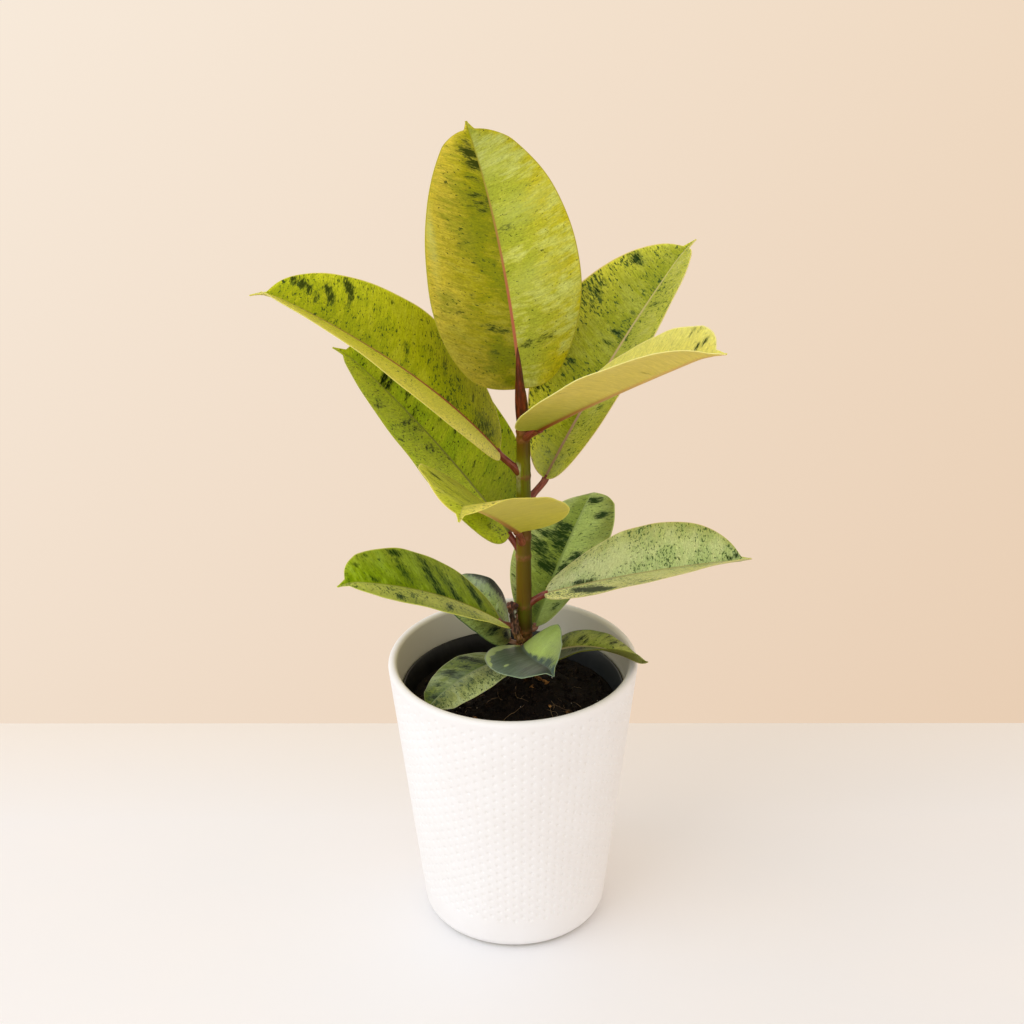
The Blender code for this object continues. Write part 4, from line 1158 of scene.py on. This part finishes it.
        rib=("#7C8A58", "#7C8A5C"), keel=("#8A5A44", "#98A068"), below=("#8E9C6C", "#8E9C6C"),
        margin="#A8B07C",
        marks=((0.31, -0.7, 3.0, 8, 0.86), (0.29, -0.35, 2.6, 6, 0.8), (0.56, -0.5, 3.0, 7, 0.86),
               (0.57, -0.15, 3.0, 6, 0.74), (0.86, -0.14, 3.0, 4, 0.74), (0.73, -0.5, 2.2, 5, 0.6),
               (0.39, 0.48, 1.5, 3, 0.7), (0.43, -0.3, 2, 6, 0.7), (0.55, 0.36, 1.5, 4, 0.55)),
        bloomsAndSheen=((0.6, 0.0, 14, 8, 0.5), (0.7, -0.8, 8, 6, 0.5)),
    ),
}
# Every blade: veins lean forward from the midrib by veinLean and bend by veinCurve, and a
# keel of a height and a width, given for foot and tip, stands out below.
blade = dict(
    thickness=0.7, ends=(1.4, 0.5), fullness=0.92, blend=2.5, bendStart=0.86, rows=100, across=18,
    veinLean=0.16, veinCurve=0.004, wave=0.3, ribWidth=(1.0, 0.22), keel=(1.4, 0.25),
    keelWidth=(2.0, 0.6), channel=0.22, rimOut=0.18, glow=0.7, glowDepth=2,
    ribPlaces=((0.1, 0.4), (0.2, 0.85), (0.3, 1.4), (0.42, 2.2), (0.5, 3.2)),
)
stalk = dict(
    large=2.0, small=1.35, flare=1.35, sides=24, rings=44, gap=0.3, midrib=1.8, steep=60,
    tones=("#5E2015", "#84382A", "#A05A42"), faded="#9C755C", foot="#7A4024",
)


def leafFrame(leaf, share):
    # the midrib's direction, the blade's left and its up, at a share of the way to the tip
    heading = leaf["heading"] + leaf["turn"] + leaf["sweep"] * share
    bend = clamp((share - blade["bendStart"]) / (1 - blade["bendStart"]))
    rise = between(leaf["rise"], share) - leaf["tipDrop"] * bend * bend * (3 - 2 * bend)
    roll = math.radians(between(leaf["roll"], share))
    along = direction(heading, rise)
    up = direction(heading, rise + 90)
    left = np.cross(up, along)
    rolledUp = up * math.cos(roll) + left * math.sin(roll)
    rolledLeft = left * math.cos(roll) - up * math.sin(roll)
    return along, rolledLeft, rolledUp


def stalkEnd(leaf):
    foot = np.array([*stemPlace, leaf["node"]])
    return foot + leaf["stalk"] * direction(leaf["heading"], leaf["stalkRise"])


def halfWidth(leaf, share):
    widest, drip = leaf["widest"], leaf["drip"]
    oval = min(1, share / (1 - drip))
    near = (oval / widest) ** (widest * blade["fullness"])
    far = ((1 - oval) / (1 - widest)) ** ((1 - widest) * blade["fullness"])
    point = leaf["dripHalf"] * min(3, (1 - share) / drip)
    point *= clamp((share - 1 + 6 * drip) / (3 * drip))
    widths = (near * far * leaf["width"] / 2, point, between(blade["ends"], share))
    return sum(width ** blade["blend"] for width in widths) ** (1 / blade["blend"])


def acrossPlaces(half):
    # places over one half of the blade: close together at the midrib and at the margin
    rib = [min(most, out / half) for most, out in blade["ribPlaces"]]
    edge = 1 - min(0.12, 0.55 / half)
    steps = blade["across"]
    spread = [rib[-1] + (edge - rib[-1]) * step / steps for step in range(1, steps + 1)]
    return rib + spread + [1.0]


def veinAt(leaf, share, across, half):
    # how far up the midrib the vein through this point starts
    out = abs(across) * half
    return share * leaf["length"] - blade["veinLean"] * out - blade["veinCurve"] * out * out


def bladeSurface(leaf, seed):
    # the upper face's points, and what the material reads there
    turns = np.linspace(0, math.pi, blade["rows"] + 1)
    shares = [(1 - math.cos(turn)) / 2 for turn in turns]
    spots = np.zeros((len(shares), 2 * len(acrossPlaces(10)) + 1, 3))
    facts = np.zeros((*spots.shape[:2], 4))
    middle = stalkEnd(leaf)
    for row, share in enumerate(shares):
        along, left, up = leafFrame(leaf, share)
        if row:
            before = leafFrame(leaf, shares[row - 1])[0]
            middle = middle + (before + along) / 2 * (share - shares[row - 1]) * leaf["length"]
        half = halfWidth(leaf, share)
        places = acrossPlaces(half)
        for column, across in enumerate([-place for place in reversed(places)] + [0] + places):
            reach = abs(across)
            curl = math.radians(leaf["curl"][0 if across > 0 else 1])
            angle = math.radians(between(leaf["fold"], share)) + curl * reach / 2
            if across > 0:
                angle += math.radians(leaf["tipLeft"]) * eased(share, 0.6, 0.95)
            chord = half * reach * np.sinc(curl * reach / 2 / math.pi)
            sideways = math.copysign(math.cos(angle) * chord, across)
            # a slow wave along each margin, and the shallow channel along the midrib
            phase = seed * 2.1 + (5 if across > 0 else 0)
            wave = math.sin(share * 17 + phase) + 0.6 * math.sin(share * 31 + 2 * phase)
            wave *= blade["wave"] * min(1, half / 30) * reach ** 2.2 * math.sin(math.pi * share)
            dip = blade["channel"] * math.exp(-(reach * half / 1.6) ** 2) * min(1, half / 8)
            # rounded lobes reach back past the foot on either side of the stalk
            back = leaf["lobes"] * reach * math.exp(-(share / 0.09) ** 2)
            lift = math.sin(angle) * chord + wave - dip
            spots[row, column] = middle + left * sideways + up * lift - along * back
            facts[row, column] = (share, across, half, veinAt(leaf, share, across, half))
    return spots, facts


def inked(leaf, places, across, half, vein):
    # how far inside the leaf's patches a point lies, from 0 to about 1. A patch that starts
    # beside the midrib stops at it
    found = 0.0
    for markShare, markAcross, long, wide, strength in places:
        if across * markAcross < 0:
            continue
        markHalf = halfWidth(leaf, markShare)
        ahead = (vein - veinAt(leaf, markShare, markAcross, markHalf)) / long
        aside = (across * half - markAcross * markHalf) / wide
        found = max(found, strength * math.exp(-(ahead * ahead + aside * aside) * 0.7))
    return found


# painted shade and light: how bright a half is along its length, partly the leaf's own tone
def shadeAt(leaf, share, across):
    foot, tip = leaf["shadeLeft"] if across > 0 else leaf["shadeRight"]
    return 1 + (foot - 1) * (1 - eased(share, 0.0, 0.4)) + (tip - 1) * eased(share, 0.6, 1.0)


def makeBlade(name, leaf, seed):
    upper, facts = bladeSurface(leaf, seed)
    rows, columns = upper.shape[:2]
    normals = np.cross(np.gradient(upper, axis=0), np.gradient(upper, axis=1))
    normals /= np.linalg.norm(normals, axis=2, keepdims=True)
    if (normals[rows // 2, columns // 2] * leafFrame(leaf, 0.5)[2]).sum() < 0:
        normals = -normals
    share, across, half = facts[..., 0], facts[..., 1], facts[..., 2]
    out = np.abs(across) * half
    bulge = np.exp(-(out / between(blade["keelWidth"], share)) ** 2) * np.clip(half / 4, 0.3, 1)
    thick = blade["thickness"] * (0.55 + 0.45 * np.clip((1 - np.abs(across)) * half / 1.5, 0, 1))
    thick += between(blade["keel"], share ** 0.7) * bulge
    lower = upper - normals * thick[..., None]
    # the rounded margin: one more row of points between the two faces, a little further out
    loop = [(row, 0) for row in range(rows)] + [(rows - 1, column) for column in range(1, columns)]
    loop += [(row, columns - 1) for row in range(rows - 2, -1, -1)]
    loop += [(0, column) for column in range(columns - 2, 0, -1)]
    rim = []
    for row, column in loop:
        inner = upper[min(max(row, 1), rows - 2), min(max(column, 1), columns - 2)]
        outward = upper[row, column] - inner
        outward /= np.linalg.norm(outward) + 1e-9
        rim.append((upper[row, column] + lower[row, column]) / 2 + outward * blade["rimOut"])
    points = np.concatenate([upper.reshape(-1, 3), lower.reshape(-1, 3), rim]) * mm
    size = rows * columns
    faces = gridFaces(rows, columns) + gridFaces(rows, columns, start=size, flip=True)
    for index, (row, column) in enumerate(loop):
        after = (index + 1) % len(loop)
        here, there = row * columns + column, loop[after][0] * columns + loop[after][1]
        rimHere, rimThere = 2 * size + index, 2 * size + after
        faces.append((here, there, rimThere, rimHere))
        faces.append((rimHere, rimThere, size + there, size + here))
    # the faces look outward once one is known to
    middle = size // 2
    first, second = points[middle + 1] - points[middle], points[middle + columns] - points[middle]
    if np.dot(np.cross(first, second), normals.reshape(-1, 3)[middle]) < 0:
        faces = [face[::-1] for face in faces]
    piece = newPiece(name + "_blade", points, faces, leafMaterial(name, leaf), name)
    everywhere = [*facts.reshape(-1, 4)] * 2 + [facts[spot] for spot in loop]
    places, veins, marks, tones = [], [], [], []
    for index, (share, across, half, vein) in enumerate(everywhere):
        under = (0.0, 1.0, 0.5)[min(2, index // size)]
        places.append((share, across, under))
        veins.append((vein, across * half, seed * 17.3 + (60 if under == 1 else 0)))
        # waxy is how far inside a pale patch a point lies: partly waxy bloom, partly painted sheen
        dark, waxy = (inked(leaf, leaf[kind], across, half, vein) for kind in ("marks", "bloomsAndSheen"))
        marks.append((dark, waxy, (1 - abs(across)) * max(half, 6)))
        tones.append((shadeAt(leaf, share, across), 0, 0))
    for layer, values in (("Place", places), ("Vein", veins), ("Marks", marks), ("Tone", tones)):
        addValues(piece, "leaf" + layer, values)
    return piece


def leafMaterial(name, leaf):
    # a thick waxy fig leaf, variegated: a clear ground colour, darker green washed in along the
    # close side veins, dark specks and torn-edged dark patches, a pale margin, a rosy midrib,
    # painted light and shade in each half's colours and brightness, and pale patches of waxy bloom
    # and painted sheen. Its skin has a soft satin shine above and is duller and yellower beneath,
    # where its paler colour is partly painted light shining through
    material, tree, shader = newMaterial(name + " waxy variegated fig leaf")
    _, share, across, under = readValues(tree, "leafPlace")
    vein, _, aside, _ = readValues(tree, "leafVein")
    # waxy: the pale patches, partly waxy bloom and partly painted sheen
    _, dark, waxy, fromEdge = readValues(tree, "leafMarks")
    _, toneAndShade, _, _ = readValues(tree, "leafTone")
    outward = addNode(tree, "Math", {0: across}, operation="ABSOLUTE")
    fromRib = addNode(tree, "Math", {0: aside}, operation="ABSOLUTE")

    # patterns, in millimetres along the midrib and along the veins
    def pattern(alongRib, alongVein, detail, rough):
        sizes = (1 / alongRib, 1 / alongVein, 1)
        scaled = addNode(tree, "VectorMath", {0: vein, 1: sizes}, operation="MULTIPLY")
        return addNode(
            tree, "TexNoise", {"Vector": scaled, "Scale": 1, "Detail": detail, "Roughness": rough},
        )

    wide = pattern(16, 24, 2, 0.5)
    streak = pattern(2.6, 11, 3, 0.55)
    thin = pattern(0.8, 5, 3, 0.6)
    torn = pattern(1.0, 3.2, 5, 0.72)
    grain = pattern(0.7, 1.2, 3, 0.6)

    # what differs between the two halves: colours, and the most that is laid on of each
    onLeft = addNode(tree, "MapRange", {"Value": aside, "From Min": -0.2, "From Max": 0.2})
    ground, outer, deep = (
        addNode(tree, "Mix", {0: onLeft, 6: leaf[key][1], 7: leaf[key][0]}, data_type="RGBA")
        for key in ("ground", "outer", "deep")
    )
    deepMost, paleMost, speckMost = (
        addNode(tree, "Mix", {0: onLeft, 2: leaf[key][1], 3: leaf[key][0]})
        for key in ("deepShare", "paleShare", "specks")
    )

    # toward the margin the ground changes. Darker green is washed in along the veins, more
    # near the midrib, with paler places between, partly the leaf's own colour and partly
    # painted sheen. Green hairlines follow the side veins, which are 0.5 mm apart and drawn at
    # about 1 mm so that they show
    toward = addNode(tree, "Math", {0: outward, 1: wide}, operation="MULTIPLY")
    outerShare = addNode(tree, "MapRange", {"Value": toward, "From Min": 0.18, "From Max": 0.50})
    washed = addNode(tree, "Mix", {0: 0.45, 2: wide, 3: streak})
    inner = addNode(tree, "MapRange", {"Value": outward, "To Min": 0.07, "To Max": -0.05})
    wash = addNode(
        tree, "MapRange",
        {"Value": addNode(tree, "Math", {0: washed, 1: inner}, operation="ADD"),
         "From Min": 0.45, "From Max": 0.62},
        interpolation_type="SMOOTHSTEP",
    )
    light = addNode(tree, "MapRange", {"Value": washed, "From Min": 0.50, "From Max": 0.36})
    hairs = addNode(
        tree, "MapRange", {"Value": thin, "From Min": 0.47, "From Max": 0.33, "To Max": 0.75},
    )
    deepShare, lightShare, hairShare = (
        addNode(tree, "Math", {0: laid, 1: most}, operation="MULTIPLY")
        for laid, most in ((wash, deepMost), (light, paleMost), (hairs, leaf["hairs"]))
    )
    top = ground
    for laid, coat in (
        (outerShare, outer), (deepShare, deep), (lightShare, leaf["pale"]), (hairShare, deep),
    ):
        top = addNode(tree, "Mix", {0: laid, 6: top, 7: coat}, data_type="RGBA")

    # a fine grain over all of it, and the painted shade and light of each part of the leaf, partly its
    # own tone
    grained = addNode(
        tree, "MapRange",
        {"Value": grain, "From Min": 0.3, "From Max": 0.7, "To Min": 0.78, "To Max": 1.20},
    )
    veined = addNode(
        tree, "MapRange",
        {"Value": thin, "From Min": 0.36, "From Max": 0.64, "To Min": 0.91, "To Max": 1.08},
    )
    textured = addNode(tree, "Math", {0: grained, 1: veined}, operation="MULTIPLY")
    shaded = addNode(tree, "Math", {0: textured, 1: toneAndShade}, operation="MULTIPLY")
    top = addNode(tree, "VectorMath", {0: top, 1: shaded}, operation="MULTIPLY")

    # dark flecks, longer along the veins, in crowds: sparse large ones and more small ones
    crowded = addNode(
        tree, "MapRange",
        {"Value": wide, "From Min": 0.30, "From Max": 0.70, "To Min": 0.3, "To Max": 1.7},
    )
    crowd = addNode(tree, "Math", {0: crowded, 1: speckMost}, operation="MULTIPLY")
    for alongRib, alongVein, rarest, commonest in ((2.0, 4.2, 0.70, 0.56), (1.1, 2.3, 0.69, 0.54)):
        flecks = pattern(alongRib, alongVein, 3, 0.6)
        limit = addNode(
            tree, "MapRange", {"Value": crowd, "From Max": 2.0, "To Min": rarest, "To Max": commonest},
        )
        above = addNode(tree, "Math", {0: flecks, 1: limit}, operation="SUBTRACT")
        shown = addNode(tree, "MapRange", {"Value": above, "From Max": 0.03, "To Max": 0.9})
        top = addNode(tree, "Mix", {0: shown, 6: top, 7: leaf["speck"]}, data_type="RGBA")

    # torn-edged patches: a green halo broken along the veins round a dark core
    tearing = addNode(tree, "Mix", {0: 0.6, 2: thin, 3: torn})
    spread = addNode(tree, "Math", {0: tearing, 1: 3.2, 2: -1.6}, operation="MULTIPLY_ADD")
    level = addNode(tree, "Math", {0: spread, 1: dark}, operation="ADD")
    inPatch = addNode(tree, "MapRange", {"Value": dark, "From Min": 0.06, "From Max": 0.32})
    halo, core = (
        addNode(tree, "MapRange", {"Value": level, "From Min": low, "From Max": high, "To Max": most})
        for low, high, most in ((0.22, 0.52, 0.75), (0.56, 0.68, 0.97))
    )
    haloShare, patchShare = (
        addNode(tree, "Math", {0: part, 1: inPatch}, operation="MULTIPLY") for part in (halo, core)
    )

    # the pale patches of waxy bloom and painted sheen, the midrib and the pale margin
    bloomSheenPattern = streak if leaf["softBloomSheen"] else torn
    bloomSheenPattern = addNode(tree, "Math", {0: bloomSheenPattern, 1: waxy}, operation="MULTIPLY")
    low, high, most = (0.05, 0.6, 0.6) if leaf["softBloomSheen"] else (0.22, 0.28, 0.95)
    bloomSheenShare = addNode(
        tree, "MapRange", {"Value": bloomSheenPattern, "From Min": low, "From Max": high, "To Max": most},
    )
    low, high = blade["ribWidth"]
    ribWidth = addNode(tree, "MapRange", {"Value": share, "To Min": low, "To Max": high})
    besideRib = addNode(tree, "Math", {0: fromRib, 1: ribWidth}, operation="SUBTRACT")
    rib = addNode(tree, "MapRange", {"Value": besideRib, "From Min": 0.25, "From Max": -0.15})
    ribReach = addNode(tree, "MapRange", {"Value": share, "From Min": 0.3, "From Max": 0.85})
    foot, tip = leaf["rib"]
    ribColour = addNode(tree, "Mix", {0: ribReach, 6: foot, 7: tip}, data_type="RGBA")
    edge = addNode(tree, "MapRange", {"Value": fromEdge, "From Min": 0.75, "From Max": 0.25})
    for laid, coat in (
        (haloShare, leaf["speck"]), (patchShare, leaf["mark"]), (bloomSheenShare, leaf["pale"]),
        (rib, ribColour), (edge, leaf["margin"]),
    ):
        top = addNode(tree, "Mix", {0: laid, 6: top, 7: coat}, data_type="RGBA")

    # the underside: paler, partly its own colour and partly painted light shining through the blade,
    # with fine parallel veins and a red-brown keel
    footShare = addNode(tree, "MapRange", {"Value": share, "From Min": 0.02, "From Max": 0.45})
    foot, tip = leaf["below"]
    bottom = addNode(tree, "Mix", {0: footShare, 6: foot, 7: tip}, data_type="RGBA")
    ribbed = addNode(
        tree, "MapRange",
        {"Value": thin, "From Min": 0.34, "From Max": 0.66, "To Min": 0.86, "To Max": 1.05},
    )
    streaked = addNode(
        tree, "MapRange",
        {"Value": streak, "From Min": 0.3, "From Max": 0.7, "To Min": 1.03, "To Max": 0.94},
    )
    belowTone = addNode(tree, "Math", {0: ribbed, 1: streaked}, operation="MULTIPLY")
    bottom = addNode(tree, "VectorMath", {0: bottom, 1: belowTone}, operation="MULTIPLY")
    belowPatch = addNode(tree, "Math", {0: patchShare, 1: 0.35}, operation="MULTIPLY")
    # the keel's colour reaches a little less far than its shape
    wideFoot, wideTip = blade["keelWidth"]
    keelWidth = addNode(
        tree, "MapRange", {"Value": share, "To Min": 0.9 * wideFoot, "To Max": 0.8 * wideTip},
    )
    besideKeel = addNode(tree, "Math", {0: fromRib, 1: keelWidth}, operation="SUBTRACT")
    keel = addNode(tree, "MapRange", {"Value": besideKeel, "From Min": 0.5, "From Max": -0.5})
    keelReach = addNode(tree, "MapRange", {"Value": share, "From Max": 0.65})
    foot, tip = leaf["keel"]
    keelColour = addNode(tree, "Mix", {0: keelReach, 6: foot, 7: tip}, data_type="RGBA")
    underEdge = addNode(tree, "Math", {0: edge, 1: 0.7}, operation="MULTIPLY")
    for laid, coat in ((belowPatch, leaf["mark"]), (keel, keelColour), (underEdge, leaf["margin"])):
        bottom = addNode(tree, "Mix", {0: laid, 6: bottom, 7: coat}, data_type="RGBA")
    isUnder = addNode(tree, "MapRange", {"Value": under, "From Min": 0.5, "From Max": 0.75})

    gloss = addNode(tree, "MapRange", {"Value": streak, "To Min": 0.34, "To Max": 0.46})
    # the dark patches have less of the glossy wax
    shine = addNode(
        tree, "MapRange", {"Value": patchShare, "To Min": leaf["shine"], "To Max": 0.3 * leaf["shine"]},
    )
    relief = addNode(tree, "Math", {0: streak, 1: thin}, operation="ADD")
    setInputs(shader, {
        "Base Color": addNode(tree, "Mix", {0: isUnder, 6: top, 7: bottom}, data_type="RGBA"),
        "Roughness": addNode(tree, "Mix", {0: isUnder, 2: gloss, 3: 0.58}),
        "Specular IOR Level": shine,
        "Normal": addNode(tree, "Bump", {"Height": relief, "Strength": 0.35, "Distance": 0.16 * mm}),
        "IOR": 1.45,
        # light passes through the thin blade, so a shaded leaf glows a little
        "Subsurface Weight": blade["glow"],
        "Subsurface Radius": (1.0, 1.0, 0.35),
        "Subsurface Scale": blade["glowDepth"] * mm,
    })
    return material


def stalkMaterial():
    # a fleshy red-brown leaf stalk: smooth, softly glossy, with fine lengthwise streaks. The
    # oldest ones have faded to a pinkish tan
    material, tree, shader = newMaterial("fleshy red fig leaf stalk")
    place, along, _, _ = readValues(tree, "stalkPlace")
    _, age, _, _ = readValues(tree, "stalkAge")
    drawn = addNode(tree, "VectorMath", {0: place, 1: (0.12, 1.0, 1.0)}, operation="MULTIPLY")
    streaks = addNode(tree, "TexNoise", {"Vector": drawn, "Scale": 2.2, "Detail": 3})
    colour = addNode(
        tree, "ValToRGB", {"Fac": streaks}, stops=list(zip((0.32, 0.52, 0.70), stalk["tones"])),
    )
    nearFoot = addNode(tree, "MapRange", {"Value": along, "From Min": 5.5, "From Max": 1.0})
    for share, coat in ((age, stalk["faded"]), (nearFoot, stalk["foot"])):
        colour = addNode(tree, "Mix", {0: share, 6: colour, 7: coat}, data_type="RGBA")
    bump = addNode(tree, "Bump", {"Height": streaks, "Strength": 0.3, "Distance": 0.15 * mm})
    setInputs(shader, {"Base Color": colour, "Normal": bump, "Roughness": 0.4})
    return material


def makeStalk(name, leaf, seed, material):
    along, _, up = leafFrame(leaf, 0)
    radius = stalk["large"] if leaf["length"] > 100 else stalk["small"]
    node = np.array([*stemPlace, leaf["node"]])
    end = stalkEnd(leaf) - stalk["gap"] * along - up * stalk["midrib"] / 2
    if leaf["stalkRise"] < stalk["steep"]:
        start, leaving = node + 0.1 * (end - node), node + 0.35 * (end - node)
    else:
        # a steep stalk leaves the stem sideways and then turns up
        outward = direction(leaf["heading"], 0)
        start = node + outward * (stemRadius(node[2]) - 1.2)
        leaving = node + (stemRadius(node[2]) + radius) * outward
    arriving = end - 0.2 * leaf["stalk"] * along
    route = smoothPath([start, leaving, arriving, end], stalk["rings"])
    lengths = [0.0]
    for before, after in zip(route, route[1:]):
        lengths.append(lengths[-1] + np.linalg.norm(after - before))
    radii = []
    for length in lengths:
        # a swollen foot, a slim middle, and a slightly swollen neck under the blade
        share = length / lengths[-1]
        foot = (stalk["flare"] - 0.95) * (1 - eased(share, 0.05, 0.45))
        radii.append(radius * (0.95 + foot + 0.08 * eased(share, 0.75, 1)) * mm)
    points, faces = tubeAlong([spot * mm for spot in route], radii, stalk["sides"])
    solid = name.replace("leaf", "stalk")
    piece = newPiece(name + "_stalk", points, faces, material, solid)
    values = []
    for index in range(len(points)):
        ring, step = divmod(index, stalk["sides"])
        # around runs forth and back, so that the streaks meet
        angle = 2 * math.pi * step / stalk["sides"]
        values.append((lengths[ring], 2 + 2 * math.cos(angle), seed * 5.7 + math.sin(angle)))
    addValues(piece, "stalkPlace", values)
    addValues(piece, "stalkAge", [(1 - eased(leaf["node"], 166, 182), 0, 0)] * len(points))
    return piece


stalkSkin = stalkMaterial()
for seed, (name, given) in enumerate(leaves.items(), start=1):
    leaf = {**usualLeaf, **given}
    makeBlade(name, leaf, seed)
    makeStalk(name, leaf, seed, stalkSkin)
print("leaves made")
